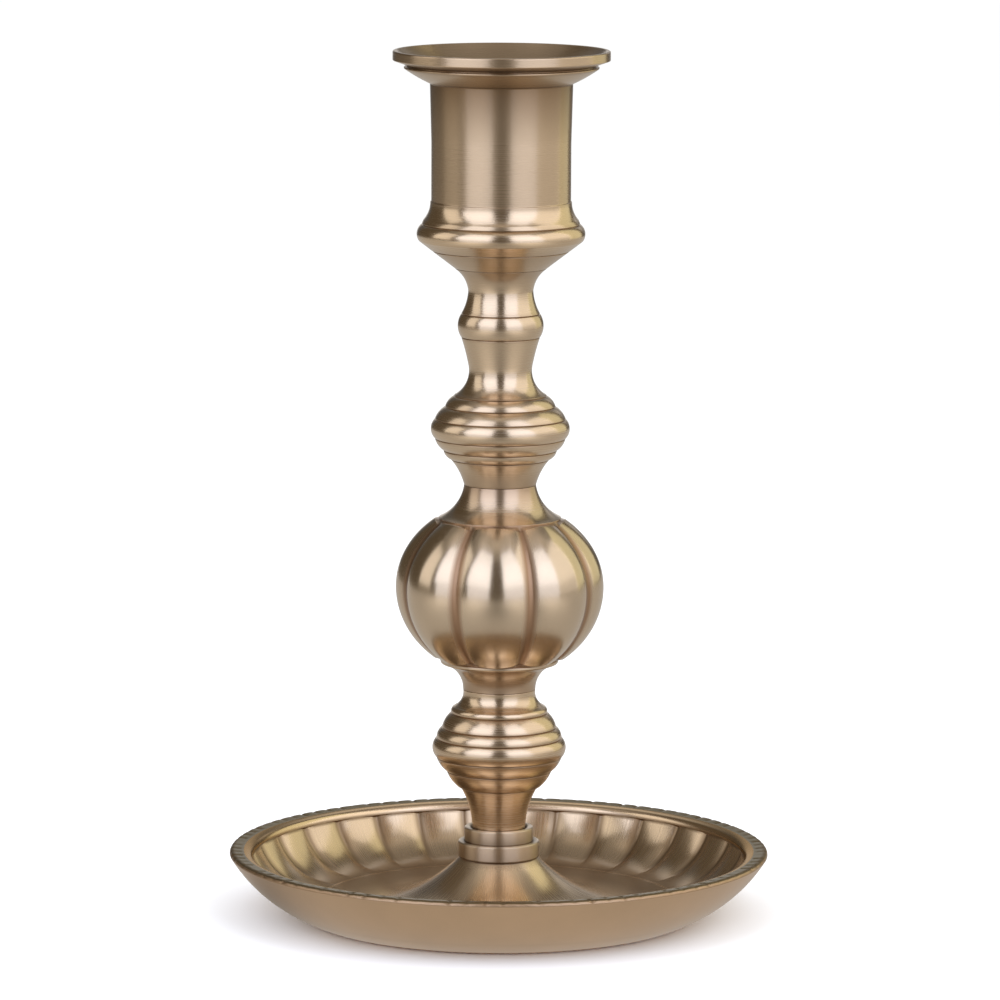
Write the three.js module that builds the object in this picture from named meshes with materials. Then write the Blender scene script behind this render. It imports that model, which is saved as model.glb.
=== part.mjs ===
// A turned brass candle stand: a cup for one candle on a stem of turned and fluted
// pieces, which stands in the middle of a shallow saucer with a fluted inside wall.
// The pieces are stacked on one threaded rod and drawn together by a nut under the saucer.
// Millimetres, +Z up. The origin is the middle of the foot ring, on the table.
// Every outline is a list of [radius, height] points that runs anticlockwise round the metal,
// with heights from the piece's own lower shoulder. Heights stack upwards from there, so a
// changed height lifts everything above it.

import * as THREE from 'three';

// Fits
const jointGap = 0.05;            // hairline left where two turned shoulders meet
const rodClearance = 0.2;         // bore radius over rod radius where the rod passes through
const threadClearance = 0.1;      // tapped hole over rod radius
const spigotClearance = 0.15;     // recess over spigot, on the radius and in the depth
const seatClearance = 0.15;       // collar's seat over the stem's foot
const hardwareGap = 0.05;         // between the washers, the nut and the saucer

// Tie rod, an M6 threaded bar, and its hardware
const rodRadius = 3.0;
const rodEndChamfer = 0.5;
const rodProjection = 0.85;       // thread that stands out under the nut
const rodTopClearance = 0.5;      // rod's upper end to the bottom of its tapped hole
const washerRadius = 6.0;
const washerThickness = 1.2;
const springWasherRadius = 5.4;
const springWasherThickness = 1.5;
const springWasherSplit = 14;     // degrees left open at the split
const nutAcrossFlats = 10.0;
const nutHeight = 5.0;

// Spigots that centre each stem piece in the one above it
const spigotRadius = 5.0;
const spigotHeight = 2.0;

// Grooves and ribs of the two knops
const ribBulge = 0.28;
const crestHalfHeight = 2.0;      // the widest ring, from its crest to the groove beside it
const crestBulge = 0.8;
const grooveDepth = 0.3;
const grooveWidth = 0.22;
const grooveStep = 0.12;          // a rib starts this far inside the end of the one before

// Saucer
const rimRadius = 59.1;
const rimHeight = 14.7;
const rimLandWidth = 3.1;         // flat milled top of the rim
const rimEdgeRound = 0.9;
const rollWidth = 2.1;            // smooth roll from the rim land down to the fluted wall
const rollDepth = 1.85;
const rollSwell = 0.42;
const wallSag = 2.85;             // hollow of the fluted inside wall below its chord
const valleyRadius = 39.0;        // lowest ring of the inside
const valleyHeight = 2.95;
const hollowRadius = 34.0;        // where the hollow under the dome ends
const floorRise = 1.0;            // the floor's underside over the table
const domePower = 3.25;           // how quickly the dome falls away from its hub
const hollowPower = 2.8;          // the same for the hollow under it
const hubInset = 0.18;            // the hub lies this far inside the collar on it
const hubHeight = 12.9;
const hubThickness = 3.0;
const hubEdge = 0.2;
const footRingRadius = 41.7;
const footRingWidth = 3.3;
const footRingSlope = 0.5;
const undersideBulge = 1.9;       // roundness of the bowl outside
const fluteCount = 32;
const fluteDepth = 0.85;
const fluteTurn = 177.2;          // degrees from the front to the first groove
const fluteLedge = 0.12;          // step where the roll cuts the flutes off square
const flutePower = 2;             // 2 gives round crowns between the grooves
const fluteFade = 0.6;            // below 1, the grooves stay deep for most of the wall

// Collar under the stem
const collarWall = 1.57;          // beside the seat of the stem's foot
const collarUpperHeight = 3.1;
const collarStep = 1.36;          // the lower ring stands out this far
const collarLowerHeight = 3.5;
const collarChamfer = 0.25;
const collarSeatDepth = 0.6;      // the stem's foot sinks this far into the collar

// Lower stem piece. Ribs are listed outwards from the widest ring: the height of each,
// and how far its radius falls over that height.
const stemFootRadius = 5.85;
const taperTopRadius = 8.4;
const taperHeight = 9.39;
const taperSag = 0.65;
const lowerKnopRadius = 14.65;
const lowerRibBelowHeight = 2.85;
const lowerTaperRibHeight = 3.4;
const lowerCrestRibHeight = 2.15;
const lowerRibAboveHeight = 3.0;
const lowerRibsBelow = [
  { height: lowerRibBelowHeight, fall: 2.1 },
  { height: lowerTaperRibHeight, fall: 2.5 },
];
const lowerRibsAbove = [
  { height: lowerCrestRibHeight, fall: 1.1 },
  { height: lowerRibAboveHeight, fall: 1.85 },
  { height: 1.3, fall: 0.7 },
];
const lowerNeckHeight = 3.8;
const lowerNeckSag = 0.7;
const lowerJointRadius = 7.93;    // where the lower stem meets the ball

// Fluted ball with its flange, ring and two turned necks
const ballFootHeight = 5.8;
const ballFootSag = 1.35;
const flangeRadius = 12.9;
const flangeThickness = 1.0;
const flangeEdge = 0.2;
const ballFootStep = 1.26;        // the ball starts this far outside the flange
const ballRadius = 22.75;
const ballBottomHalfHeight = 20.2;
const ballTopHalfHeight = 19.26;
const lobeCount = 8;
const lobeDepth = 1.4;
const lobeTurn = 18.5;            // degrees from the front to the first groove
const lobePower = 2;
const ballRingStep = 0.9;         // the ball ends this far outside the ring
const ballRingRadius = 13.4;
const ballRingThickness = 0.35;
const ballNeckHeight = 7.2;
const ballNeckSag = 1.3;
const upperJointRadius = 7.85;    // where the ball meets the upper stem

// Upper stem piece
const upperFootHeight = 5.5;
const upperFootSag = 0.35;
const upperKnopFootRadius = 10.7;
const upperKnopRadius = 15.15;
const upperRibBelowHeight = 2.4;
const upperRibAboveHeight = 2.5;
const upperRibsBelow = [
  { height: upperRibBelowHeight, fall: 1.75 },
  { height: 1.75, fall: 1.4 },
];
const upperRibsAbove = [
  { height: upperRibAboveHeight, fall: 2.1 },
  { height: 2.15, fall: 1.8 },
];
const upperShoulderRadius = 10.1;
const upperShoulderHeight = 6.3;  // from the shoulder up to the narrowest part
const upperShoulderSag = 1.1;
const upperNeckRadius = 6.92;
const upperNeckHeight = 6.3;      // from there up to the bead
const beadFootSag = 0.1;
const beadWidth = 4.9;
const beadEdgeRadius = 8.65;
const beadSwell = 0.7;
const topNeckFootHeight = 4.95;
const topNeckFootSag = 0.3;
const topNeckRadius = 7.08;
const topNeckHeight = 4.85;
const topNeckSag = 0.62;
const cupJointRadius = 10.0;      // where the upper stem meets the cup

// Candle cup, whose outside follows the candle's bore
const candleBoreRadius = 12.0;
const threadDepth = 8.3;          // tapped hole in the cup's foot
const cupFloorThickness = 3.0;    // between that hole and the candle
const cupWall = 3.17;
const cupBodyTaper = 0.33;        // the body is this much wider at its top
const cupConeHeight = 3.7;        // from the joint up to the turned line
const cupLineRadius = 14.85;
const cupBeadFootRise = 2.3;      // from the line up to the bead
const cupBeadHeight = 3.5;
const cupBeadFootStep = 2.68;     // radii of the bead over the body
const cupBeadTopStep = 2.13;
const cupBeadSwell = 0.72;
const cupFlareLand = 0.78;        // plain ring between the bead and the flare
const cupFlareStep = 1.68;
const cupFlareHeight = 4.0;
const cupFlareSag = 0.4;
const cupBodyStep = 0.2;          // small shoulder where the flare starts
const cupBodyHeight = 25.6;
const lipConeStep = 5.65;         // the cone under the lip widens this far
const lipConeHeight = 3.25;
const lipConeBulge = 0.15;
const lipConeEdge = 0.35;
const lipGrooveDepth = 0.65;
const lipGrooveWidth = 0.35;
const lipOverhang = 2.45;
const lipUnderRise = 1.1;         // slope of the lip's underside
const lipBand = 2.05;             // height of the upright edge of the lip
const lipEdge = 0.2;
const lipLandWidth = 0.8;
const funnelDepth = 6.6;
const funnelSag = 0.5;

// Facets round each piece, and steps along the arcs of its outline
const turnedFacets = 24;
const facetsPerLobe = 6;
const facetsPerFlute = 3;
const hardwareFacets = 20;
const longArcSteps = 4;
const arcSteps = 3;
const shortArcSteps = 2;
const domeSteps = 5;
const ballSteps = 9;

// Sizes and heights that follow from the ones above
const ribStack = (ribs) => ribs.reduce((sum, rib) => sum + rib.height + grooveWidth, 0);
const throughBore = rodRadius + rodClearance;
const tappedBore = rodRadius + threadClearance;
const recessRadius = spigotRadius + spigotClearance;
const recessDepth = spigotHeight + spigotClearance;
const collarSeatRadius = stemFootRadius + seatClearance;
const collarUpperRadius = collarSeatRadius + collarWall;
const collarLowerRadius = collarUpperRadius + collarStep;
const collarHeight = collarLowerHeight + collarUpperHeight;
const hubRadius = collarLowerRadius - hubInset;
const lowerKnopHeight = taperHeight + grooveWidth + ribStack(lowerRibsBelow) + crestHalfHeight;
const lowerStemLength = lowerKnopHeight + crestHalfHeight + ribStack(lowerRibsAbove) + lowerNeckHeight;
const flangeTop = ballFootHeight + flangeThickness;
const ballFromAngle = -Math.acos((flangeRadius + ballFootStep) / ballRadius);
const ballToAngle = Math.acos((ballRingRadius + ballRingStep) / ballRadius);
const ballCentreHeight = flangeTop - ballBottomHalfHeight * Math.sin(ballFromAngle);
const ballRingHeight = ballCentreHeight + ballTopHalfHeight * Math.sin(ballToAngle);
const ballLength = ballRingHeight + ballRingThickness + ballNeckHeight;
const upperKnopHeight = upperFootHeight + grooveWidth + ribStack(upperRibsBelow) + crestHalfHeight;
const shoulderHeight = upperKnopHeight + crestHalfHeight + ribStack(upperRibsAbove) + grooveWidth;
const neckHeight = shoulderHeight + upperShoulderHeight;
const beadFootHeight = neckHeight + upperNeckHeight + grooveWidth;
const beadTopHeight = beadFootHeight + beadWidth;
const narrowTopHeight = beadTopHeight + grooveWidth + topNeckFootHeight;
const upperStemLength = narrowTopHeight + topNeckHeight;
const cupFloorHeight = threadDepth + cupFloorThickness;
const cupBodyRadius = candleBoreRadius + cupWall;
const cupBodyTopRadius = cupBodyRadius + cupBodyTaper;
const cupBeadFootHeight = cupConeHeight + cupBeadFootRise;
const cupBeadTopHeight = cupBeadFootHeight + cupBeadHeight;
const cupFlareFootHeight = cupBeadTopHeight + grooveWidth + cupFlareLand;
const cupFlareTopHeight = cupFlareFootHeight + cupFlareHeight;
const cupBodyTopHeight = cupFlareTopHeight + cupBodyHeight;
const lipConeRadius = cupBodyTopRadius + lipConeStep;
const lipConeTopHeight = cupBodyTopHeight + lipConeHeight;
const lipGrooveHeight = lipConeTopHeight + lipConeEdge;
const lipUnderHeight = lipGrooveHeight + lipGrooveWidth + lipUnderRise;
const lipRadius = lipConeRadius + lipOverhang;
const cupLength = lipUnderHeight + lipBand;

// Where each piece stands
const collarBase = hubHeight + jointGap;
const lowerStemBase = collarBase + collarHeight - collarSeatDepth + jointGap;
const ballBase = lowerStemBase + lowerStemLength + jointGap;
const upperStemBase = ballBase + ballLength + jointGap;
const cupBase = upperStemBase + upperStemLength + jointGap;
const washerBase = hubHeight - hubThickness - hardwareGap - washerThickness;
const springWasherBase = washerBase - hardwareGap - springWasherThickness;
const nutBase = springWasherBase - hardwareGap - nutHeight;
const rodBase = nutBase - rodProjection;
const rodLength = cupBase + threadDepth - rodTopClearance - rodBase;

const { lerp, degToRad, smoothstep } = THREE.MathUtils;

// Points from a to b on a circular arc that swells by bulge to the right of the way
// it runs, which is outwards on an outline. Point a itself is left out.
function arc(a, b, bulge, steps) {
  const run = b[0] - a[0];
  const rise = b[1] - a[1];
  const chord = Math.hypot(run, rise);
  const halfAngle = 2 * Math.atan(2 * bulge / chord);
  const radius = chord / 2 / Math.sin(halfAngle);
  const points = [];
  for (let i = 1; i <= steps; i += 1) {
    const angle = (2 * i / steps - 1) * halfAngle;
    const along = 0.5 + radius * Math.sin(angle) / chord;
    const swell = radius * (Math.cos(angle) - Math.cos(halfAngle)) / chord;
    points.push([a[0] + run * along + rise * swell, a[1] + rise * along - run * swell]);
  }
  return points;
}

// A quarter round from an upright wall to a level top.
function roundedEdge(radius, height, edge) {
  const foot = [radius, height - edge];
  const top = [radius - edge, height];
  return [foot, ...arc(foot, top, edge * (1 - Math.SQRT1_2), shortArcSteps)];
}

// The bottom of a narrow turned groove between two points of an outline.
function grooveBetween(a, b) {
  return [Math.min(a[0], b[0]) - grooveDepth, (a[1] + b[1]) / 2];
}

// One outline turned into a closed solid of revolution about +Z.
function turned(outline, facets, turnDegrees = 0) {
  const points = outline.map(([radius, height]) => new THREE.Vector2(radius, height));
  const geometry = new THREE.LatheGeometry(points, facets, degToRad(turnDegrees));
  geometry.rotateX(Math.PI / 2);
  return geometry;
}

// The same, with upright grooves cut at the points that have a depth as a third value.
// The cut follows the outline's own normal, and the crowns between grooves stay on it.
function fluted(outline, count, facetsPerCrown, turnDegrees, power) {
  const geometry = turned(outline, count * facetsPerCrown, turnDegrees);
  const position = geometry.attributes.position;
  for (let i = 0; i < position.count; i += 1) {
    const station = i % outline.length;
    const depth = outline[station][2] ?? 0;
    if (depth === 0) continue;
    const facet = Math.floor(i / outline.length) % facetsPerCrown;
    const cut = depth * Math.abs(2 * facet / facetsPerCrown - 1) ** power;
    const before = outline[station - 1];
    const after = outline[station + 1];
    const run = after[0] - before[0];
    const rise = after[1] - before[1];
    const length = Math.hypot(run, rise);
    const radius = outline[station][0];
    const scale = (radius - cut * rise / length) / radius;
    position.setXYZ(i, position.getX(i) * scale, position.getY(i) * scale,
      position.getZ(i) + cut * run / length);
  }
  return geometry;
}

const closed = (outline) => [...outline, outline[0]];

// The spigot that stands on a shoulder, from its outside in to the rod's bore.
function spigotOn(height) {
  return [
    [spigotRadius, height],
    [spigotRadius, height + spigotHeight],
    [throughBore, height + spigotHeight],
  ];
}

// The recess in a piece's foot that takes the spigot below, from its bore outwards.
function footRecess(boreRadius, shoulderRadius) {
  return [
    [boreRadius, recessDepth],
    [recessRadius, recessDepth],
    [recessRadius, 0],
    [shoulderRadius, 0],
  ];
}

// Ribs that follow one another away from a point, upwards (1) or downwards (-1).
function ribRun(start, ribs, direction) {
  const points = [start];
  let end = start;
  ribs.forEach((rib) => {
    const from = [end[0] - grooveStep, end[1] + direction * grooveWidth];
    const to = [from[0] - rib.fall, from[1] + direction * rib.height];
    points.push(grooveBetween(end, from), from);
    points.push(...arc(from, to, direction * ribBulge, shortArcSteps));
    end = to;
  });
  return points;
}

// A knop of turned ribs round its widest ring, from its lowest point to its highest.
function knop(radius, height, ribsAbove, ribsBelow) {
  const bottom = [radius - crestBulge, height - crestHalfHeight];
  const top = [radius - crestBulge, height + crestHalfHeight];
  return [
    ...ribRun(bottom, ribsBelow, -1).reverse(),
    ...arc(bottom, top, crestBulge, longArcSteps),
    ...ribRun(top, ribsAbove, 1).slice(1),
  ];
}

// The curve of the dome, or of the hollow under it, from its hub out to the valley.
function domeCurve(hub, valley, power, steps) {
  const points = [];
  for (let i = 1; i < steps; i += 1) {
    const u = i / steps;
    points.push([lerp(hub[0], valley[0], u), lerp(valley[1], hub[1], (1 - u) ** power)]);
  }
  return points;
}

function dishOutline() {
  const hubBottom = [hubRadius - hubEdge, hubHeight - hubThickness];
  const hollowEdge = [hollowRadius, floorRise];
  const ringInside = footRingRadius - footRingWidth;
  const edge = roundedEdge(rimRadius, rimHeight, rimEdgeRound);
  const landInside = [rimRadius - rimLandWidth, rimHeight];
  const rollFoot = [landInside[0] - rollWidth, rimHeight - rollDepth];
  const wallTop = [rollFoot[0] - fluteLedge, rollFoot[1] - fluteLedge];
  const valley = [valleyRadius, valleyHeight];
  const domeTop = [hubRadius, hubHeight - hubEdge];
  const wall = [wallTop, ...arc(wallTop, valley, -wallSag, longArcSteps).slice(0, -1)];
  return closed([
    [throughBore, hubBottom[1]],
    hubBottom,
    ...domeCurve(hubBottom, hollowEdge, hollowPower, domeSteps - 1),
    hollowEdge,
    [ringInside - footRingSlope, floorRise],
    [ringInside, 0],
    [footRingRadius, 0],
    ...arc([footRingRadius, 0], edge[0], undersideBulge, longArcSteps),
    ...edge.slice(1),
    landInside,
    ...arc(landInside, rollFoot, rollSwell, arcSteps),
    ...wall.map(([radius, height]) => [
      radius,
      height,
      fluteDepth * smoothstep(radius, valleyRadius, rollFoot[0]) ** fluteFade,
    ]),
    valley,
    ...domeCurve(domeTop, valley, domePower, domeSteps).reverse(),
    domeTop,
    [hubRadius - hubEdge, hubHeight],
    [throughBore, hubHeight],
  ]);
}

function collarOutline() {
  return closed([
    [throughBore, 0],
    [collarLowerRadius, 0],
    [collarLowerRadius, collarLowerHeight - collarChamfer],
    [collarLowerRadius - collarChamfer, collarLowerHeight],
    [collarUpperRadius, collarLowerHeight],
    [collarUpperRadius, collarHeight - collarChamfer],
    [collarUpperRadius - collarChamfer, collarHeight],
    [collarSeatRadius, collarHeight],
    [collarSeatRadius, collarHeight - collarSeatDepth],
    [throughBore, collarHeight - collarSeatDepth],
  ]);
}

function lowerStemOutline() {
  const foot = [stemFootRadius, 0];
  const taperTop = [taperTopRadius, taperHeight];
  const ribbed = knop(lowerKnopRadius, lowerKnopHeight, lowerRibsAbove, lowerRibsBelow);
  const neck = [lowerJointRadius, lowerStemLength];
  return closed([
    [throughBore, 0],
    foot,
    ...arc(foot, taperTop, -taperSag, longArcSteps),
    grooveBetween(taperTop, ribbed[0]),
    ...ribbed,
    ...arc(ribbed.at(-1), neck, -lowerNeckSag, arcSteps),
    ...spigotOn(lowerStemLength),
  ]);
}

// Points of the ball's round outside, each with the depth of the grooves between its lobes.
function ballBody() {
  const points = [];
  for (let i = 0; i <= ballSteps; i += 1) {
    const angle = lerp(ballFromAngle, ballToAngle, i / ballSteps);
    const halfHeight = angle < 0 ? ballBottomHalfHeight : ballTopHalfHeight;
    const height = ballCentreHeight + halfHeight * Math.sin(angle);
    points.push([ballRadius * Math.cos(angle), height, lobeDepth * Math.cos(angle)]);
  }
  return points;
}

function ballOutline() {
  const foot = [lowerJointRadius, 0];
  const ringTop = [ballRingRadius, ballRingHeight + ballRingThickness];
  const neck = [upperJointRadius, ballLength];
  return closed([
    ...footRecess(throughBore, lowerJointRadius),
    ...arc(foot, [flangeRadius - flangeEdge, ballFootHeight], -ballFootSag, longArcSteps),
    [flangeRadius, ballFootHeight + flangeEdge],
    [flangeRadius, flangeTop - flangeEdge],
    [flangeRadius - flangeEdge, flangeTop - flangeEdge / 2],
    ...ballBody(),
    [ballRingRadius - flangeEdge, ballRingHeight + flangeEdge / 2],
    ringTop,
    ...arc(ringTop, neck, -ballNeckSag, longArcSteps),
    ...spigotOn(ballLength),
  ]);
}

function upperStemOutline() {
  const foot = [upperJointRadius, 0];
  const knopFoot = [upperKnopFootRadius, upperFootHeight];
  const ribbed = knop(upperKnopRadius, upperKnopHeight, upperRibsAbove, upperRibsBelow);
  const shoulder = [upperShoulderRadius, shoulderHeight];
  const neck = [upperNeckRadius, neckHeight];
  const belowBead = [beadEdgeRadius - grooveStep, beadFootHeight - grooveWidth];
  const beadFoot = [beadEdgeRadius, beadFootHeight];
  const beadTop = [beadEdgeRadius, beadTopHeight];
  const aboveBead = [beadEdgeRadius - grooveStep, beadTopHeight + grooveWidth];
  const topNeck = [topNeckRadius, narrowTopHeight];
  const joint = [cupJointRadius, upperStemLength];
  return closed([
    ...footRecess(throughBore, upperJointRadius),
    ...arc(foot, knopFoot, -upperFootSag, arcSteps),
    grooveBetween(knopFoot, ribbed[0]),
    ...ribbed,
    grooveBetween(ribbed.at(-1), shoulder),
    shoulder,
    ...arc(shoulder, neck, -upperShoulderSag, longArcSteps),
    ...arc(neck, belowBead, -beadFootSag, arcSteps),
    grooveBetween(belowBead, beadFoot),
    beadFoot,
    ...arc(beadFoot, beadTop, beadSwell, longArcSteps),
    grooveBetween(beadTop, aboveBead),
    aboveBead,
    ...arc(aboveBead, topNeck, -topNeckFootSag, arcSteps),
    ...arc(topNeck, joint, -topNeckSag, longArcSteps),
    ...spigotOn(upperStemLength),
  ]);
}

function cupOutline() {
  const slope = (cupLineRadius - cupJointRadius) / cupConeHeight;
  const line = [cupLineRadius, cupConeHeight];
  const aboveLine = [cupLineRadius + slope * grooveWidth, cupConeHeight + grooveWidth];
  const beadFoot = [cupBodyRadius + cupBeadFootStep, cupBeadFootHeight];
  const beadTop = [cupBodyRadius + cupBeadTopStep, cupBeadTopHeight];
  const aboveBead = [beadTop[0] - grooveStep, cupBeadTopHeight + grooveWidth];
  const flareFoot = [cupBodyRadius + cupFlareStep, cupFlareFootHeight];
  const flareTop = [cupBodyRadius + cupBodyStep, cupFlareTopHeight];
  const bodyTop = [cupBodyTopRadius, cupBodyTopHeight];
  const lipCone = [lipConeRadius, lipConeTopHeight];
  const grooveRadius = lipConeRadius - lipGrooveDepth;
  const land = [lipRadius - lipLandWidth, cupLength];
  const boreTop = [candleBoreRadius, cupLength - funnelDepth];
  return [
    [0, threadDepth],
    [tappedBore, threadDepth],
    ...footRecess(tappedBore, cupJointRadius),
    line,
    grooveBetween(line, aboveLine),
    aboveLine,
    beadFoot,
    ...arc(beadFoot, beadTop, cupBeadSwell, longArcSteps),
    grooveBetween(beadTop, aboveBead),
    aboveBead,
    flareFoot,
    ...arc(flareFoot, flareTop, -cupFlareSag, arcSteps),
    [cupBodyRadius, cupFlareTopHeight + cupBodyStep / 2],
    [cupBodyRadius, (cupFlareTopHeight + cupBodyTopHeight) / 2],
    bodyTop,
    ...arc(bodyTop, lipCone, lipConeBulge, shortArcSteps),
    [lipConeRadius, lipGrooveHeight],
    [grooveRadius, lipGrooveHeight],
    [grooveRadius, lipGrooveHeight + lipGrooveWidth],
    [lipRadius, lipUnderHeight],
    [lipRadius, cupLength - lipEdge],
    [lipRadius - lipEdge, cupLength],
    land,
    ...arc(land, boreTop, -funnelSag, arcSteps),
    [candleBoreRadius, cupFloorHeight],
    [0, cupFloorHeight],
  ];
}

function rodOutline() {
  return [
    [0, 0],
    [rodRadius - rodEndChamfer, 0],
    [rodRadius, rodEndChamfer],
    [rodRadius, rodLength - rodEndChamfer],
    [rodRadius - rodEndChamfer, rodLength],
    [0, rodLength],
  ];
}

function washerOutline() {
  return closed([
    [throughBore, 0],
    [washerRadius, 0],
    [washerRadius, washerThickness],
    [throughBore, washerThickness],
  ]);
}

// A flat shape cut out of sheet or bar and standing on its face.
function slab(shape, thickness) {
  return new THREE.ExtrudeGeometry(shape, {
    depth: thickness,
    bevelEnabled: false,
    curveSegments: hardwareFacets / 2,
  });
}

// A ring that is cut through at one place, flat because the nut is tight.
function springWasher() {
  const half = degToRad(springWasherSplit / 2);
  const shape = new THREE.Shape();
  shape.absarc(0, 0, springWasherRadius, half, 2 * Math.PI - half, false);
  shape.absarc(0, 0, throughBore, 2 * Math.PI - half, half, true);
  shape.closePath();
  return slab(shape, springWasherThickness);
}

function hexNut() {
  const sides = 6;
  const corner = nutAcrossFlats / 2 / Math.cos(Math.PI / sides);
  const corners = Array.from({ length: sides }, (_, i) => new THREE.Vector2(
    corner * Math.cos(i * 2 * Math.PI / sides),
    corner * Math.sin(i * 2 * Math.PI / sides),
  ));
  const shape = new THREE.Shape(corners);
  const hole = new THREE.Path();
  hole.absarc(0, 0, tappedBore, 0, 2 * Math.PI, true);
  shape.holes.push(hole);
  return slab(shape, nutHeight);
}

function metal(color, roughness) {
  return new THREE.MeshStandardMaterial({ color, roughness, metalness: 1 });
}

function piece(name, geometry, material, height) {
  const mesh = new THREE.Mesh(geometry, material);
  mesh.name = name;
  mesh.position.z = height;
  return mesh;
}

const dish = fluted(dishOutline(), fluteCount, facetsPerFlute, fluteTurn, flutePower);
const ball = fluted(ballOutline(), lobeCount, facetsPerLobe, lobeTurn, lobePower);

const candleStand = new THREE.Group();
candleStand.add(
  piece('dish', dish, metal(0xa68a66, 0.42), 0),
  piece('foot_collar', turned(collarOutline(), turnedFacets), metal(0xa88e68, 0.4), collarBase),
  piece('lower_stem', turned(lowerStemOutline(), turnedFacets), metal(0xa07850, 0.36), lowerStemBase),
  piece('fluted_ball', ball, metal(0xab8c62, 0.36), ballBase),
  piece('upper_stem', turned(upperStemOutline(), turnedFacets), metal(0xa68460, 0.36), upperStemBase),
  piece('candle_cup', turned(cupOutline(), turnedFacets), metal(0xab8d66, 0.38), cupBase),
  piece('tie_rod', turned(rodOutline(), hardwareFacets), metal(0x8d8f92, 0.35), rodBase),
  piece('flat_washer', turned(washerOutline(), hardwareFacets), metal(0x9a9c9f, 0.35), washerBase),
  piece('spring_washer', springWasher(), metal(0x77797c, 0.4), springWasherBase),
  piece('hex_nut', hexNut(), metal(0x96989b, 0.35), nutBase),
);

export default candleStand;
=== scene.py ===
# A turned brass candle stand: candle cup, ribbed and fluted stem, and a wide shallow dish.
# The solid pieces are turned on a lathe, stacked on one threaded rod and drawn together by a
# nut under the dish. Metres in the scene, millimetres in the outlines, +Z up.

import math
import bpy
import numpy as np
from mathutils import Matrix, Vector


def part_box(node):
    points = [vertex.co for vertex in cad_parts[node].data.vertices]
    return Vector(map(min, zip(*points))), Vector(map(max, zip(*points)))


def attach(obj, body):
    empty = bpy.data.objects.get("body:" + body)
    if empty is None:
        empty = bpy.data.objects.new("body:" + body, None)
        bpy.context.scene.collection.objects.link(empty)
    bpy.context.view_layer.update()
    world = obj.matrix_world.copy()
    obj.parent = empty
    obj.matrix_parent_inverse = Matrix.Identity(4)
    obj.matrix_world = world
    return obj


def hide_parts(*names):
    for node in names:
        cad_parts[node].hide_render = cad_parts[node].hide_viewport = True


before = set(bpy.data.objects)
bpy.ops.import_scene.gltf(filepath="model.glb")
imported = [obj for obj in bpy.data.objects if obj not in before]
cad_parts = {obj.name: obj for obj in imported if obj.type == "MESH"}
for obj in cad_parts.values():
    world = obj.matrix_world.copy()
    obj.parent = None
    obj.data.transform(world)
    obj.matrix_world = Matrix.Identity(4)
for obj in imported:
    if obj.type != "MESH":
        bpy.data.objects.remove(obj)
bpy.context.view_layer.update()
MM = 0.001


# The dish. A spun brass saucer with a smooth dome in the middle, thirty-two grooves cut up
# its inside wall, a polished roll above them and a dull rim with small milled nicks.
# It stands on a ring under it and carries everything else on its dome.
DISH_RIM_RADIUS = 59.1
DISH_RIM_HEIGHT = 14.7
DISH_RIM_ROUND = 0.9
DISH_LAND = 3.1
DISH_LAND_FALL = 0.22
DISH_LAND_STEPS = 6
DISH_ROLL_WIDTH = 2.1
DISH_ROLL_DEPTH = 1.85
DISH_ROLL_KNEE = (1.4, 0.45)
DISH_ROLL_STEP = 0.12
DISH_WALL_SAG = 2.85
DISH_VALLEY_RADIUS = 39.0
DISH_VALLEY_HEIGHT = 2.95
DISH_HOLLOW_RADIUS = 34.0
DISH_FLOOR_RISE = 1.0
DISH_RING_RADIUS = 41.7
DISH_RING_WIDTH = 3.3
DISH_RING_SLOPE = 0.5
DISH_BELLY = 1.9
DISH_HUB_RADIUS = 8.75
DISH_HUB_HEIGHT = 12.9
DISH_HUB_THICKNESS = 3.0
DISH_HUB_EDGE = 0.2
DISH_DOME_POWER = 3.25
DISH_HOLLOW_POWER = 2.8
DISH_FLUTES = 32
DISH_FLUTE_TURN = 177.2
DISH_FLUTE_DEPTH = 0.85
DISH_FLUTE_POWER = 2.2
DISH_FLUTE_FADE = 0.6
DISH_NICKS = 96
DISH_NICK_DEPTH = 0.3
DISH_NICK_SHARE = 0.4
DISH_NICK_WAVES = (23, 37)
DISH_NICK_ENDS = (2.6, 0.12)
DISH_NICK_HEIGHT = 0.65
DISH_SEGMENTS = 576
ROD_BORE = 3.2
QUARTER_ROUND = 0.293
CRISP_EDGE = math.radians(40)
HAIR = 0.01


def arc(start, end, bulge, steps):
    """Points after start on a circular arc to end that swells by bulge away from the metal."""
    run = end[0] - start[0]
    rise = end[1] - start[1]
    chord = math.hypot(run, rise)
    half = 2 * math.atan(2 * bulge / chord)
    radius = chord / 2 / math.sin(half)
    points = []
    for i in range(1, steps + 1):
        angle = (2 * i / steps - 1) * half
        along = 0.5 + radius * math.sin(angle) / chord
        swell = radius * (math.cos(angle) - math.cos(half)) / chord
        points.append((start[0] + run * along + rise * swell, start[1] + rise * along - run * swell))
    return points


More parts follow.
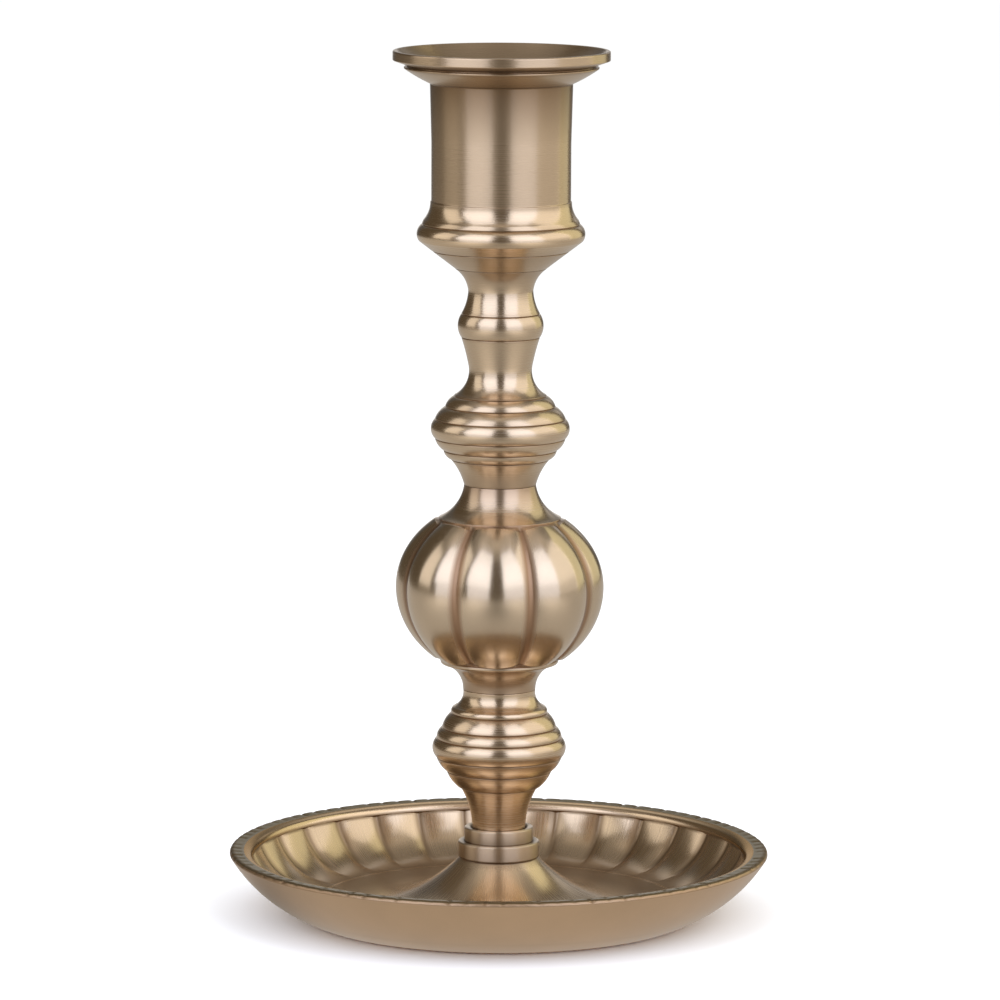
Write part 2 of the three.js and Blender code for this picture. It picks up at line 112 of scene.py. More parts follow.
def eased(outline, edge=0.12, least_turn=0.35, steps=3):
    """The outline, run once round the metal, with each sharp corner broken by a small round."""
    points = []
    count = len(outline)
    for i, corner in enumerate(outline):
        before = outline[i - 1]
        after = outline[(i + 1) % count]
        into = (corner[0] - before[0], corner[1] - before[1])
        out = (after[0] - corner[0], after[1] - corner[1])
        length_in = math.hypot(*into)
        length_out = math.hypot(*out)
        turn = math.atan2(into[0] * out[1] - into[1] * out[0], into[0] * out[0] + into[1] * out[1])
        if abs(turn) < least_turn or corner[0] < 1e-6:
            points.append(corner)
            continue
        back = min(edge, 0.4 * length_in)
        on = min(edge, 0.4 * length_out)
        first = (corner[0] - into[0] / length_in * back, corner[1] - into[1] / length_in * back)
        last = (corner[0] + out[0] / length_out * on, corner[1] + out[1] / length_out * on)
        bulge = math.hypot(last[0] - first[0], last[1] - first[1]) / 2 * math.tan(turn / 4)
        if length_in > 6 * back:
            points.append((first[0] - into[0] / length_in * back, first[1] - into[1] / length_in * back))
        points += [first] + arc(first, last, bulge, steps)
        if length_out > 6 * on:
            points.append((last[0] + out[0] / length_out * on, last[1] + out[1] / length_out * on))
    return points


def lathe(name, outline, height, segments, turn_degrees=0.0, sweep_degrees=360.0):
    """Draws an outline point by point, spins it round the stem's axis and closes the seam.

    The outline holds (radius, height) pairs in millimetres, and starts at turn_degrees from the front.
    """
    bpy.ops.object.select_all(action="DESELECT")
    bpy.ops.mesh.primitive_plane_add(size=0.001)
    piece = bpy.context.object
    piece.name = name
    piece.data.name = name
    bpy.ops.object.mode_set(mode="EDIT")
    bpy.ops.mesh.select_all(action="SELECT")
    bpy.ops.mesh.merge(type="CENTER")
    angle = math.radians(turn_degrees - 90)
    direction = (math.cos(angle), math.sin(angle))
    place = [(r * MM * direction[0], r * MM * direction[1], (height + z) * MM) for r, z in outline]
    bpy.ops.transform.translate(value=place[0])
    on_axis = outline[0][0] < 1e-6
    for here, there in zip(place, place[1:] if on_axis else place[1:] + place[:1]):
        step = tuple(b - a for a, b in zip(here, there))
        bpy.ops.mesh.extrude_region_move(TRANSFORM_OT_translate={"value": step})
    bpy.ops.mesh.select_all(action="SELECT")
    bpy.ops.mesh.spin(steps=segments, angle=math.radians(sweep_degrees), center=(0, 0, 0), axis=(0, 0, 1))
    bpy.ops.mesh.select_all(action="SELECT")
    bpy.ops.mesh.remove_doubles(threshold=0.002 * MM)
    if sweep_degrees < 360:
        bpy.ops.mesh.fill_holes(sides=0)
    bpy.ops.mesh.normals_make_consistent(inside=False)
    bpy.ops.object.mode_set(mode="OBJECT")
    return piece


def vertex_places(piece):
    """Radius, height and angle from the front of every vertex, in millimetres and turns."""
    co = np.zeros(len(piece.data.vertices) * 3)
    piece.data.vertices.foreach_get("co", co)
    x, y, z = co.reshape(-1, 3).T / MM
    return np.hypot(x, y), z, (np.arctan2(x, -y) / math.tau) % 1.0


def cut_along_normals(piece, name, depth, weights):
    """Sinks the weighted vertices into the metal by their share of depth."""
    group = piece.vertex_groups.new(name=name)
    for index in np.flatnonzero(weights > 1e-4):
        group.add([int(index)], float(weights[index]), "REPLACE")
    cutter = piece.modifiers.new(name, "DISPLACE")
    cutter.vertex_group = name
    cutter.strength = -depth * MM
    cutter.mid_level = 0.0
    bpy.context.view_layer.objects.active = piece
    bpy.ops.object.modifier_apply(modifier=name)


def groove_weights(turns, count, first_degrees, power):
    """1 in the middle of each of count grooves round the axis, falling to 0 between them."""
    share = ((turns - first_degrees / 360) * count) % 1.0
    return np.abs(2 * share - 1) ** power


def smooth_step(values, low, high):
    """0 below low, 1 above high and a smooth rise between them."""
    share = np.clip((values - low) / (high - low), 0, 1)
    return share * share * (3 - 2 * share)


def tarnish_and_shade(piece, weights):
    """Stores how dark each vertex is painted: tarnish where the polishing wheel doesn't reach, and
    painted shade in grooves, recesses and at joints.
    """
    attribute = piece.data.attributes.new("tarnish_and_shade", "FLOAT", "POINT")
    attribute.data.foreach_set("value", weights.astype(np.float32))


def near_recesses(piece, recesses, reach):
    """1 at each (radius, height) recess of a turned outline, fading out over reach."""
    radius, height, _ = vertex_places(piece)
    weights = np.zeros(len(radius))
    for at_radius, at_height in recesses:
        distance = np.hypot(radius - at_radius, height - at_height)
        weights = np.maximum(weights, np.exp(-(distance / reach) ** 2))
    return weights


def old_brass(name, colour, dark, roughness, line_depth, sheen=0.0, brushed=False, coat=0.4):
    """Lacquered antique brass with turning lines, or brushed lines that run up and down.

    It is darker and duller where the piece's stored tarnish and painted shade is high. Line depth is in
    millimetres.
    """
    material = bpy.data.materials.new(name)
    material.use_nodes = True
    nodes = material.node_tree.nodes
    links = material.node_tree.links
    shader = nodes["Principled BSDF"]
    shader.inputs["Metallic"].default_value = 1.0
    shader.inputs["IOR"].default_value = 1.5
    shader.inputs["Coat Weight"].default_value = coat
    shader.inputs["Coat Roughness"].default_value = 0.12
    shader.inputs["Anisotropic"].default_value = sheen
    shader.inputs["Anisotropic Rotation"].default_value = 0.25
    around = nodes.new("ShaderNodeTangent")
    around.direction_type = "RADIAL"
    around.axis = "Z"
    links.new(around.outputs["Tangent"], shader.inputs["Tangent"])

    place = nodes.new("ShaderNodeTexCoord")
    split = nodes.new("ShaderNodeSeparateXYZ")
    flat = nodes.new("ShaderNodeCombineXYZ")
    radius = nodes.new("ShaderNodeVectorMath")
    radius.operation = "LENGTH"
    along = nodes.new("ShaderNodeMath")
    links.new(place.outputs["Object"], split.inputs["Vector"])
    if brushed:
        along.operation = "ARCTAN2"
        links.new(split.outputs["X"], along.inputs[0])
        back = nodes.new("ShaderNodeMath")
        back.operation = "MULTIPLY"
        back.inputs[1].default_value = -1.0
        links.new(split.outputs["Y"], back.inputs[0])
        links.new(back.outputs["Value"], along.inputs[1])
    else:
        along.operation = "ADD"
        links.new(split.outputs["X"], flat.inputs["X"])
        links.new(split.outputs["Y"], flat.inputs["Y"])
        links.new(flat.outputs["Vector"], radius.inputs[0])
        links.new(radius.outputs["Value"], along.inputs[0])
        links.new(split.outputs["Z"], along.inputs[1])

    lines = nodes.new("ShaderNodeTexNoise")
    lines.noise_dimensions = "1D"
    lines.inputs["Scale"].default_value = 110.0 if brushed else 9000.0
    lines.inputs["Detail"].default_value = 3.0
    lines.inputs["Roughness"].default_value = 0.6
    links.new(along.outputs["Value"], lines.inputs["W"])

    clouds = nodes.new("ShaderNodeTexNoise")
    clouds.inputs["Scale"].default_value = 55.0
    clouds.inputs["Detail"].default_value = 4.0
    clouds.inputs["Roughness"].default_value = 0.55
    links.new(place.outputs["Object"], clouds.inputs["Vector"])

    tone = nodes.new("ShaderNodeValToRGB")
    tone.color_ramp.elements[0].position = 0.3
    tone.color_ramp.elements[1].position = 0.7
    tone.color_ramp.elements[0].color = (*[c * 0.93 for c in colour], 1)
    tone.color_ramp.elements[1].color = (*[min(1, c * 1.04) for c in colour], 1)
    links.new(clouds.outputs["Fac"], tone.inputs["Fac"])

    # The stored weight mixes in the dark colour: tarnish and painted shade.
    stored = nodes.new("ShaderNodeAttribute")
    stored.attribute_name = "tarnish_and_shade"
    mix = nodes.new("ShaderNodeMix")
    mix.data_type = "RGBA"
    mix.inputs["B"].default_value = (*dark, 1)
    links.new(stored.outputs["Fac"], mix.inputs["Factor"])
    links.new(tone.outputs["Color"], mix.inputs["A"])
    links.new(mix.outputs["Result"], shader.inputs["Base Color"])

    gloss = nodes.new("ShaderNodeMapRange")
    gloss.inputs["From Min"].default_value = 0.3
    gloss.inputs["From Max"].default_value = 0.7
    gloss.inputs["To Min"].default_value = roughness - 0.03
    gloss.inputs["To Max"].default_value = roughness + 0.04
    links.new(lines.outputs["Fac"], gloss.inputs["Value"])
    dull = nodes.new("ShaderNodeMath")
    dull.operation = "MULTIPLY_ADD"
    dull.inputs[1].default_value = 0.2
    links.new(stored.outputs["Fac"], dull.inputs[0])
    links.new(gloss.outputs["Result"], dull.inputs[2])
    links.new(dull.outputs["Value"], shader.inputs["Roughness"])

    bump = nodes.new("ShaderNodeBump")
    bump.inputs["Strength"].default_value = 1.0
    bump.inputs["Distance"].default_value = line_depth * MM
    links.new(lines.outputs["Fac"], bump.inputs["Height"])
    links.new(bump.outputs["Normal"], shader.inputs["Normal"])
    return material


def dome_curve(hub, valley, power, steps):
    """The hollow slope from the hub out to the valley, without its two ends."""
    points = []
    for i in range(1, steps):
        u = i / steps
        radius = hub[0] + (valley[0] - hub[0]) * u
        points.append((radius, valley[1] + (hub[1] - valley[1]) * (1 - u) ** power))
    return points


hub_bottom = (DISH_HUB_RADIUS - DISH_HUB_EDGE, DISH_HUB_HEIGHT - DISH_HUB_THICKNESS)
hollow_edge = (DISH_HOLLOW_RADIUS, DISH_FLOOR_RISE)
ring_inside = DISH_RING_RADIUS - DISH_RING_WIDTH
rim_edge = (DISH_RIM_RADIUS, DISH_RIM_HEIGHT - DISH_RIM_ROUND)
land_outside = (DISH_RIM_RADIUS - DISH_RIM_ROUND, DISH_RIM_HEIGHT)
land_inside = (DISH_RIM_RADIUS - DISH_LAND, DISH_RIM_HEIGHT - DISH_LAND_FALL)
roll_foot = (land_inside[0] - DISH_ROLL_WIDTH, DISH_RIM_HEIGHT - DISH_ROLL_DEPTH)
roll_knee = (land_inside[0] - DISH_ROLL_KNEE[0], land_inside[1] - DISH_ROLL_KNEE[1])
wall_top = (roll_foot[0] - DISH_ROLL_STEP, roll_foot[1] - DISH_ROLL_STEP)
valley = (DISH_VALLEY_RADIUS, DISH_VALLEY_HEIGHT)
dome_top = (DISH_HUB_RADIUS, DISH_HUB_HEIGHT - DISH_HUB_EDGE)
land_points = [
    (
        land_outside[0] + (land_inside[0] - land_outside[0]) * i / DISH_LAND_STEPS,
        DISH_RIM_HEIGHT - DISH_LAND_FALL * i / DISH_LAND_STEPS,
    )
    for i in range(1, DISH_LAND_STEPS)
]
dish_outline = [
    (ROD_BORE, hub_bottom[1]),
    hub_bottom,
    *dome_curve(hub_bottom, hollow_edge, DISH_HOLLOW_POWER, steps=12),
    hollow_edge,
    (ring_inside - DISH_RING_SLOPE, DISH_FLOOR_RISE),
    (ring_inside, 0.0),
    (DISH_RING_RADIUS, 0.0),
    *arc((DISH_RING_RADIUS, 0.0), rim_edge, DISH_BELLY, steps=18),
    *arc(rim_edge, land_outside, DISH_RIM_ROUND * QUARTER_ROUND, steps=6),
    *land_points,
    land_inside,
    *arc(land_inside, roll_knee, bulge=0.07, steps=6),
    *arc(roll_knee, roll_foot, bulge=0.14, steps=8),
    wall_top,
    *arc(wall_top, valley, -DISH_WALL_SAG, steps=30),
    *dome_curve(dome_top, valley, DISH_DOME_POWER, steps=24)[::-1],
    dome_top,
    (DISH_HUB_RADIUS - DISH_HUB_EDGE, DISH_HUB_HEIGHT),
    (ROD_BORE, DISH_HUB_HEIGHT),
]
dish = lathe("saucer", eased(dish_outline), 0.0, DISH_SEGMENTS, DISH_FLUTE_TURN)
radius, height, turns = vertex_places(dish)
above_valley = height > DISH_VALLEY_HEIGHT - HAIR
underside = np.interp(radius, [DISH_RING_RADIUS, DISH_RIM_RADIUS], [0.0, rim_edge[1]])
on_wall = (radius < wall_top[0] + 0.05) & (radius > DISH_VALLEY_RADIUS)
on_wall &= above_valley & (height > 0.2 + underside)
fade = smooth_step(radius, DISH_VALLEY_RADIUS, wall_top[0]) ** DISH_FLUTE_FADE
grooves = groove_weights(turns, DISH_FLUTES, DISH_FLUTE_TURN, DISH_FLUTE_POWER)
cut_along_normals(dish, "flutes", DISH_FLUTE_DEPTH, np.where(on_wall, grooves * fade, 0.0))
nick = groove_weights(turns, DISH_NICKS, DISH_FLUTE_TURN, 1.0)
nick = np.clip((nick - 1) / DISH_NICK_SHARE + 1, 0, 1)
slow, quick = [turns * math.tau * waves for waves in DISH_NICK_WAVES]
unevenness = 0.55 + 0.45 * np.sin(slow) * np.sin(quick + 1.0)
on_land = (radius > DISH_RIM_RADIUS - DISH_NICK_ENDS[0]) & (radius < DISH_RIM_RADIUS - DISH_NICK_ENDS[1])
on_land &= height > DISH_RIM_HEIGHT - DISH_NICK_HEIGHT
cut_along_normals(dish, "nicks", DISH_NICK_DEPTH, np.where(on_land, nick * unevenness, 0.0))
# How dark the brass is painted, from 0 to 1, and between which radii that fades in or out: tarnish and
# painted shade in the flutes, valley and creases, tarnish on the edge and in the nicks, and a plain
# darkening of the inside
FLUTE_TARNISH_AND_SHADE = 0.75
VALLEY_TARNISH_AND_SHADE = 0.7
VALLEY_FADES_IN = (18.0, 34.0)
VALLEY_FADES_OUT = (40.0, 50.0)
INSIDE_DARKENING = 0.17
INSIDE_FADES_IN = (14.0, 24.0)
EDGE_TARNISH = 0.4
NICK_TARNISH = 0.7
ROLL_FOOT_TARNISH_AND_SHADE = 0.85
DOME_TOP_TARNISH_AND_SHADE = 0.35
in_valley = smooth_step(radius, *VALLEY_FADES_IN) * (1 - smooth_step(radius, *VALLEY_FADES_OUT))
inside = on_wall | ((radius < DISH_VALLEY_RADIUS) & above_valley)
on_round = (radius > land_outside[0]) & (height > rim_edge[1] + HAIR)
darkened_places = [
    np.where(on_wall, FLUTE_TARNISH_AND_SHADE * smooth_step(grooves, 0.3, 0.9) * fade, 0.0),
    np.where(above_valley, VALLEY_TARNISH_AND_SHADE * in_valley, 0.0),
    np.where(inside, INSIDE_DARKENING * smooth_step(radius, *INSIDE_FADES_IN), 0.0),
    np.where(on_round, EDGE_TARNISH, 0.0),
    np.where(on_land, NICK_TARNISH * nick * unevenness, 0.0),
    ROLL_FOOT_TARNISH_AND_SHADE * near_recesses(dish, [wall_top], 0.5),
    DOME_TOP_TARNISH_AND_SHADE * near_recesses(dish, [dome_top], 0.3),
]
tarnish_and_shade(dish, np.maximum.reduce(darkened_places))
bpy.ops.object.shade_smooth_by_angle(angle=CRISP_EDGE)

DISH_INSIDE = (0.80, 0.61, 0.41)
DISH_ROLL = (0.86, 0.65, 0.44)
DISH_ROLL_GLANCE = (0.42, 0.34, 0.24)
DISH_OUTSIDE = (0.72, 0.49, 0.30)
DISH_RIM = (0.26, 0.205, 0.11)
DISH_DARK = (0.20, 0.115, 0.05)
LAND_FINISH_DEPTH = 0.3
POLISHED, SATIN, MILLED, ROLLED = range(4)
inside_brass = old_brass(
    "polished dish brass", DISH_INSIDE, DISH_DARK, roughness=0.24, line_depth=0.0013, brushed=True
)
outside_brass = old_brass(
    "satin dish brass", DISH_OUTSIDE, DISH_DARK, roughness=0.36, line_depth=0.004, sheen=0.3
)
rim_brass = old_brass("milled rim brass", DISH_RIM, DISH_DARK, roughness=0.42, line_depth=0.004, coat=0.1)
roll_brass = old_brass(
    "polished roll brass", DISH_ROLL, DISH_DARK, roughness=0.22, line_depth=0.001, sheen=0.4, coat=0.1
)
roll_shader = roll_brass.node_tree.nodes["Principled BSDF"]
roll_shader.inputs["Specular Tint"].default_value = (*DISH_ROLL_GLANCE, 1)
for brass in (inside_brass, outside_brass, rim_brass, roll_brass):
    dish.data.materials.append(brass)
faces = dish.data.polygons
normals = np.zeros(len(faces) * 3)
faces.foreach_get("normal", normals)
middles = np.zeros(len(faces) * 3)
faces.foreach_get("center", middles)
x, y, z = middles.reshape(-1, 3).T / MM
from_axis = np.hypot(x, y)
looks_down = normals.reshape(-1, 3)[:, 2] < -0.05
finish = np.where(looks_down | (from_axis > land_outside[0]), SATIN, POLISHED)
finish[(from_axis > land_inside[0]) & (z > DISH_RIM_HEIGHT - LAND_FINISH_DEPTH)] = MILLED
finish[(from_axis > roll_foot[0]) & (from_axis < land_inside[0]) & (z > roll_foot[1])] = ROLLED
faces.foreach_set("material_index", finish.astype(np.int32))
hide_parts("dish")
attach(dish, "root")


# The foot collar. A small two-step brass ring turned from bar. The stem's foot sits in the
# shallow seat in its top, and the tie rod clamps it on the dish's hub.
COLLAR_LOWER_RADIUS = 8.93
COLLAR_LOWER_HEIGHT = 3.5
COLLAR_UPPER_RADIUS = 7.57
COLLAR_HEIGHT = 6.6
COLLAR_SEAT_RADIUS = 6.0
COLLAR_SEAT_DEPTH = 0.6
COLLAR_SEAT_FLARE = 0.5
COLLAR_SEAT_LEAD = (0.1, 0.25)
COLLAR_EDGE = 0.2
COLLAR_FILLET = 0.1
COLLAR_SHADE_REACH = 0.35
TURNED_SEGMENTS = 192

collar_outline = [
    (ROD_BORE, 0.0),
    (COLLAR_LOWER_RADIUS - COLLAR_EDGE, 0.0),
    (COLLAR_LOWER_RADIUS, COLLAR_EDGE),
    (COLLAR_LOWER_RADIUS, COLLAR_LOWER_HEIGHT - COLLAR_EDGE),
    (COLLAR_LOWER_RADIUS - COLLAR_EDGE, COLLAR_LOWER_HEIGHT),
    (COLLAR_UPPER_RADIUS + COLLAR_FILLET, COLLAR_LOWER_HEIGHT),
    (COLLAR_UPPER_RADIUS, COLLAR_LOWER_HEIGHT + COLLAR_FILLET),
    (COLLAR_UPPER_RADIUS, COLLAR_HEIGHT - COLLAR_EDGE),
    (COLLAR_UPPER_RADIUS - COLLAR_EDGE, COLLAR_HEIGHT),
    (COLLAR_SEAT_RADIUS + COLLAR_SEAT_FLARE, COLLAR_HEIGHT),
    (COLLAR_SEAT_RADIUS + COLLAR_SEAT_LEAD[0], COLLAR_HEIGHT - COLLAR_SEAT_LEAD[1]),
    (COLLAR_SEAT_RADIUS, COLLAR_HEIGHT - COLLAR_SEAT_DEPTH),
    (ROD_BORE, COLLAR_HEIGHT - COLLAR_SEAT_DEPTH),
]
collar_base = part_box("foot_collar")[0].z / MM
collar = lathe("stem_collar", eased(collar_outline, edge=0.1), collar_base, TURNED_SEGMENTS)
collar_recesses = [
    (COLLAR_UPPER_RADIUS, collar_base + COLLAR_LOWER_HEIGHT),
    (COLLAR_SEAT_RADIUS, collar_base + COLLAR_HEIGHT - 0.3),
    (COLLAR_LOWER_RADIUS, collar_base),
]
# The collar's inner step, its seat and its foot on the hub are painted darker, as painted shade and
# tarnish.
tarnish_and_shade(collar, near_recesses(collar, collar_recesses, COLLAR_SHADE_REACH))
bpy.ops.object.shade_smooth_by_angle(angle=CRISP_EDGE)
COLLAR_BRASS = (0.78, 0.605, 0.42)
collar_finish = old_brass(
    "collar brass", COLLAR_BRASS, DISH_DARK, roughness=0.42, line_depth=0.003, sheen=0.95
)
collar.data.materials.append(collar_finish)
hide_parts("foot_collar")
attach(collar, "root")


# The lower stem. One brass turning: a narrow foot that tapers out to a knop of ribs, with a
# waist above it and a spigot that centres the ball.
RIB_BULGE = 0.28
RIB_STEPS = 8
CREST_HALF_HEIGHT = 2.0
CREST_BULGE = 0.8
CREST_STEPS = 16
GROOVE_DEPTH = 0.34
GROOVE_WIDTH = 0.22
GROOVE_STEP = 0.12
GROOVE_TARNISH_AND_SHADE = 0.6
GROOVE_SHADE_REACH = 0.4
SPIGOT_RADIUS = 5.0
SPIGOT_HEIGHT = 2.0
RECESS_RADIUS = 5.15
RECESS_DEPTH = 2.15


def groove_between(a, b):
    """The bottom of the turned groove between two points of an outline."""
    return (min(a[0], b[0]) - GROOVE_DEPTH, (a[1] + b[1]) / 2)


def rib_run(start, ribs, direction):
    """Ribs that follow one another away from start, each (height, fall of its radius)."""
    points = [start]
    grooves = []
    end = start
    for rib_height, fall in ribs:
        begin = (end[0] - GROOVE_STEP, end[1] + direction * GROOVE_WIDTH)
        finish = (begin[0] - fall, begin[1] + direction * rib_height)
        grooves.append(groove_between(end, begin))
        points += [grooves[-1], begin] + arc(begin, finish, direction * RIB_BULGE, RIB_STEPS)
        end = finish
    return points, grooves


def knop(radius, height, ribs_above, ribs_below):
    """A knop of ribs round its widest ring, from its lowest point to its highest."""
    bottom = (radius - CREST_BULGE, height - CREST_HALF_HEIGHT)
    top = (radius - CREST_BULGE, height + CREST_HALF_HEIGHT)
    below, grooves_below = rib_run(bottom, ribs_below, -1)
    above, grooves_above = rib_run(top, ribs_above, 1)
    points = below[::-1] + arc(bottom, top, CREST_BULGE, CREST_STEPS) + above[1:]
    return points, grooves_below + grooves_above


def spigot_on(height):
    """The short spigot on top of a piece, which centres the next one."""
    return [
        (SPIGOT_RADIUS, height),
        (SPIGOT_RADIUS, height + SPIGOT_HEIGHT),
        (ROD_BORE, height + SPIGOT_HEIGHT),
    ]


STEM_FOOT_RADIUS = 5.85
TAPER_TOP = (8.4, 9.39)
TAPER_SAG = 0.65
LOWER_KNOP = (14.65, 18.3)
LOWER_RIBS_BELOW = [(2.85, 2.1), (3.4, 2.5)]
LOWER_RIBS_ABOVE = [(2.15, 1.1), (3.0, 1.85), (1.3, 0.7)]
LOWER_NECK_SAG = 0.7
LOWER_JOINT = (7.93, 31.21)

stem_foot = (STEM_FOOT_RADIUS, 0.0)
ribbed, rib_grooves = knop(*LOWER_KNOP, LOWER_RIBS_ABOVE, LOWER_RIBS_BELOW)
taper_groove = groove_between(TAPER_TOP, ribbed[0])
lower_outline = [
    (ROD_BORE, 0.0),
    stem_foot,
    *arc(stem_foot, TAPER_TOP, -TAPER_SAG, steps=16),
    taper_groove,
    *ribbed,
    *arc(ribbed[-1], LOWER_JOINT, -LOWER_NECK_SAG, steps=14),
    *spigot_on(LOWER_JOINT[1]),
]
lower_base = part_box("lower_stem")[0].z / MM
lower_stem = lathe("ribbed_lower_stem", eased(lower_outline, edge=0.08), lower_base, TURNED_SEGMENTS)
# The grooves between the ribs, the taper groove and the foot are painted darker, as tarnish and painted
# shade.
lower_recesses = [(r, lower_base + z) for r, z in rib_grooves + [taper_groove, stem_foot]]
tarnish_and_shade(lower_stem, GROOVE_TARNISH_AND_SHADE * near_recesses(lower_stem, lower_recesses, GROOVE_SHADE_REACH))
bpy.ops.object.shade_smooth_by_angle(angle=CRISP_EDGE)
LOWER_STEM_BRASS = (0.72, 0.54, 0.36)
STEM_DARK = (0.26, 0.15, 0.075)
lower_stem_finish = old_brass(
    "lower stem brass", LOWER_STEM_BRASS, STEM_DARK, roughness=0.25, line_depth=0.004, sheen=0.6
)
lower_stem.data.materials.append(lower_stem_finish)
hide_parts("lower_stem")
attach(lower_stem, "root")


# The fluted ball. Cast brass with eight round lobes, turned only at its two necks, with a thin
# flange under the lobes and a fine ring over them. It sits on the lower stem's spigot.
FLANGE_RADIUS = 12.9
FLANGE_THICKNESS = 1.0
FLANGE_EDGE = 0.25
BALL_FOOT_HEIGHT = 5.8
BALL_FOOT_SAG = 1.35
BALL_FOOT_STEP = 1.26
BALL_RADIUS = 22.75
BALL_BOTTOM_HALF = 20.2
BALL_TOP_HALF = 19.26
BALL_CURVE_STEPS = 56
BALL_RING_STEP = 0.9
BALL_RING_RADIUS = 13.4
BALL_RING_THICKNESS = 0.35
BALL_NECK_HEIGHT = 7.2
BALL_NECK_SAG = 1.2
BALL_LOBES = 8
BALL_LOBE_DEPTH = 1.4
BALL_LOBE_TURN = 18.5
BALL_SEGMENTS = 216
UPPER_JOINT_RADIUS = 7.85

flange_top = BALL_FOOT_HEIGHT + FLANGE_THICKNESS
from_angle = -math.acos((FLANGE_RADIUS + BALL_FOOT_STEP) / BALL_RADIUS)
to_angle = math.acos((BALL_RING_RADIUS + BALL_RING_STEP) / BALL_RADIUS)
ball_centre = flange_top - BALL_BOTTOM_HALF * math.sin(from_angle)
ring_height = ball_centre + BALL_TOP_HALF * math.sin(to_angle)
ball_length = ring_height + BALL_RING_THICKNESS + BALL_NECK_HEIGHT
ball_curve = []
for i in range(BALL_CURVE_STEPS + 1):
    angle = from_angle + (to_angle - from_angle) * i / BALL_CURVE_STEPS
    half_height = BALL_BOTTOM_HALF if angle < 0 else BALL_TOP_HALF
    ball_curve.append((BALL_RADIUS * math.cos(angle), ball_centre + half_height * math.sin(angle)))
ball_foot = (LOWER_JOINT[0], 0.0)
ring_top = (BALL_RING_RADIUS, ring_height + BALL_RING_THICKNESS)
ball_neck = (UPPER_JOINT_RADIUS, ball_length)
ball_outline = [
    (ROD_BORE, RECESS_DEPTH),
    (RECESS_RADIUS, RECESS_DEPTH),
    (RECESS_RADIUS, 0.0),
    ball_foot,
    *arc(ball_foot, (FLANGE_RADIUS - 0.2, BALL_FOOT_HEIGHT), -BALL_FOOT_SAG, steps=14),
    (FLANGE_RADIUS, BALL_FOOT_HEIGHT + FLANGE_EDGE),
    (FLANGE_RADIUS, flange_top - FLANGE_EDGE),
    (FLANGE_RADIUS - FLANGE_EDGE, flange_top - 0.05),
    *ball_curve,
    (BALL_RING_RADIUS - 0.2, ring_height + 0.05),
    ring_top,
    *arc(ring_top, ball_neck, -BALL_NECK_SAG, steps=16),
    *spigot_on(ball_length),
]
ball_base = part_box("fluted_ball")[0].z / MM
ball = lathe("lobed_ball", eased(ball_outline, edge=0.08), ball_base, BALL_SEGMENTS, BALL_LOBE_TURN)
radius, height, turns = vertex_places(ball)
on_ball = (height > ball_base + flange_top - HAIR) & (height < ball_base + ring_height + HAIR)
on_ball &= radius > FLANGE_RADIUS + 0.8
lobe = groove_weights(turns, BALL_LOBES, BALL_LOBE_TURN, 2.0)
lobe_weight = np.where(on_ball, lobe * radius / BALL_RADIUS, 0.0)
cut_along_normals(ball, "lobes", BALL_LOBE_DEPTH, lobe_weight)
# The lobe grooves, the recesses at the flange and the ring, and both necks at the joints are painted
# darker, as tarnish and painted shade.
ball_recesses = [
    (FLANGE_RADIUS, ball_base + flange_top),
    (BALL_RING_RADIUS, ball_base + ring_height),
    (BALL_RING_RADIUS + 0.5, ball_base + ring_height),
]
ball_joints = [(ball_foot[0], ball_base), (UPPER_JOINT_RADIUS, ball_base + ball_length)]
LOBE_TARNISH_AND_SHADE = 0.9
BALL_JOINT_TARNISH_AND_SHADE = 0.5
BALL_JOINT_REACH = 4.5
darkened_places = [
    np.where(on_ball, LOBE_TARNISH_AND_SHADE * smooth_step(lobe, 0.58, 0.86), 0.0),
    GROOVE_TARNISH_AND_SHADE * near_recesses(ball, ball_recesses, GROOVE_SHADE_REACH),
    BALL_JOINT_TARNISH_AND_SHADE * near_recesses(ball, ball_joints, BALL_JOINT_REACH),
]
tarnish_and_shade(ball, np.maximum.reduce(darkened_places))
bpy.ops.object.shade_smooth_by_angle(angle=CRISP_EDGE)
BALL_BRASS = (0.71, 0.555, 0.39)
BALL_DARK = (0.36, 0.20, 0.105)
ball_finish = old_brass("ball brass", BALL_BRASS, BALL_DARK, roughness=0.22, line_depth=0.001, sheen=0.6)
ball.data.materials.append(ball_finish)
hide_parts("fluted_ball")
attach(ball, "root")


# The upper stem. One brass turning: a ribbed knop, a slim neck with a bead on it, and a flare
# that meets the cup.
UPPER_FOOT = (10.7, 5.5)
UPPER_FOOT_SAG = 0.35
UPPER_KNOP_RADIUS = 15.15
UPPER_RIBS_BELOW = [(2.4, 1.75), (1.75, 1.4)]
UPPER_RIBS_ABOVE = [(2.5, 2.1), (2.15, 1.8)]
UPPER_SHOULDER_RADIUS = 10.1
UPPER_SHOULDER_SAG = 1.1
SLIM_NECK_RADIUS = 6.92
SLIM_NECK_HALF = 6.3
SLIM_NECK_SAG = 0.1
BEAD_EDGE_RADIUS = 8.65
BEAD_HEIGHT = 4.9
BEAD_BULGE = 0.7
TOP_NECK_RADIUS = 7.08
TOP_NECK_RISE = 4.95
TOP_NECK_SAG = 0.3
CUP_JOINT_RADIUS = 10.0
CUP_JOINT_RISE = 4.85
CUP_JOINT_SAG = 0.62
UPPER_JOINT_TARNISH_AND_SHADE = 0.4
UPPER_JOINT_REACH = 4.0

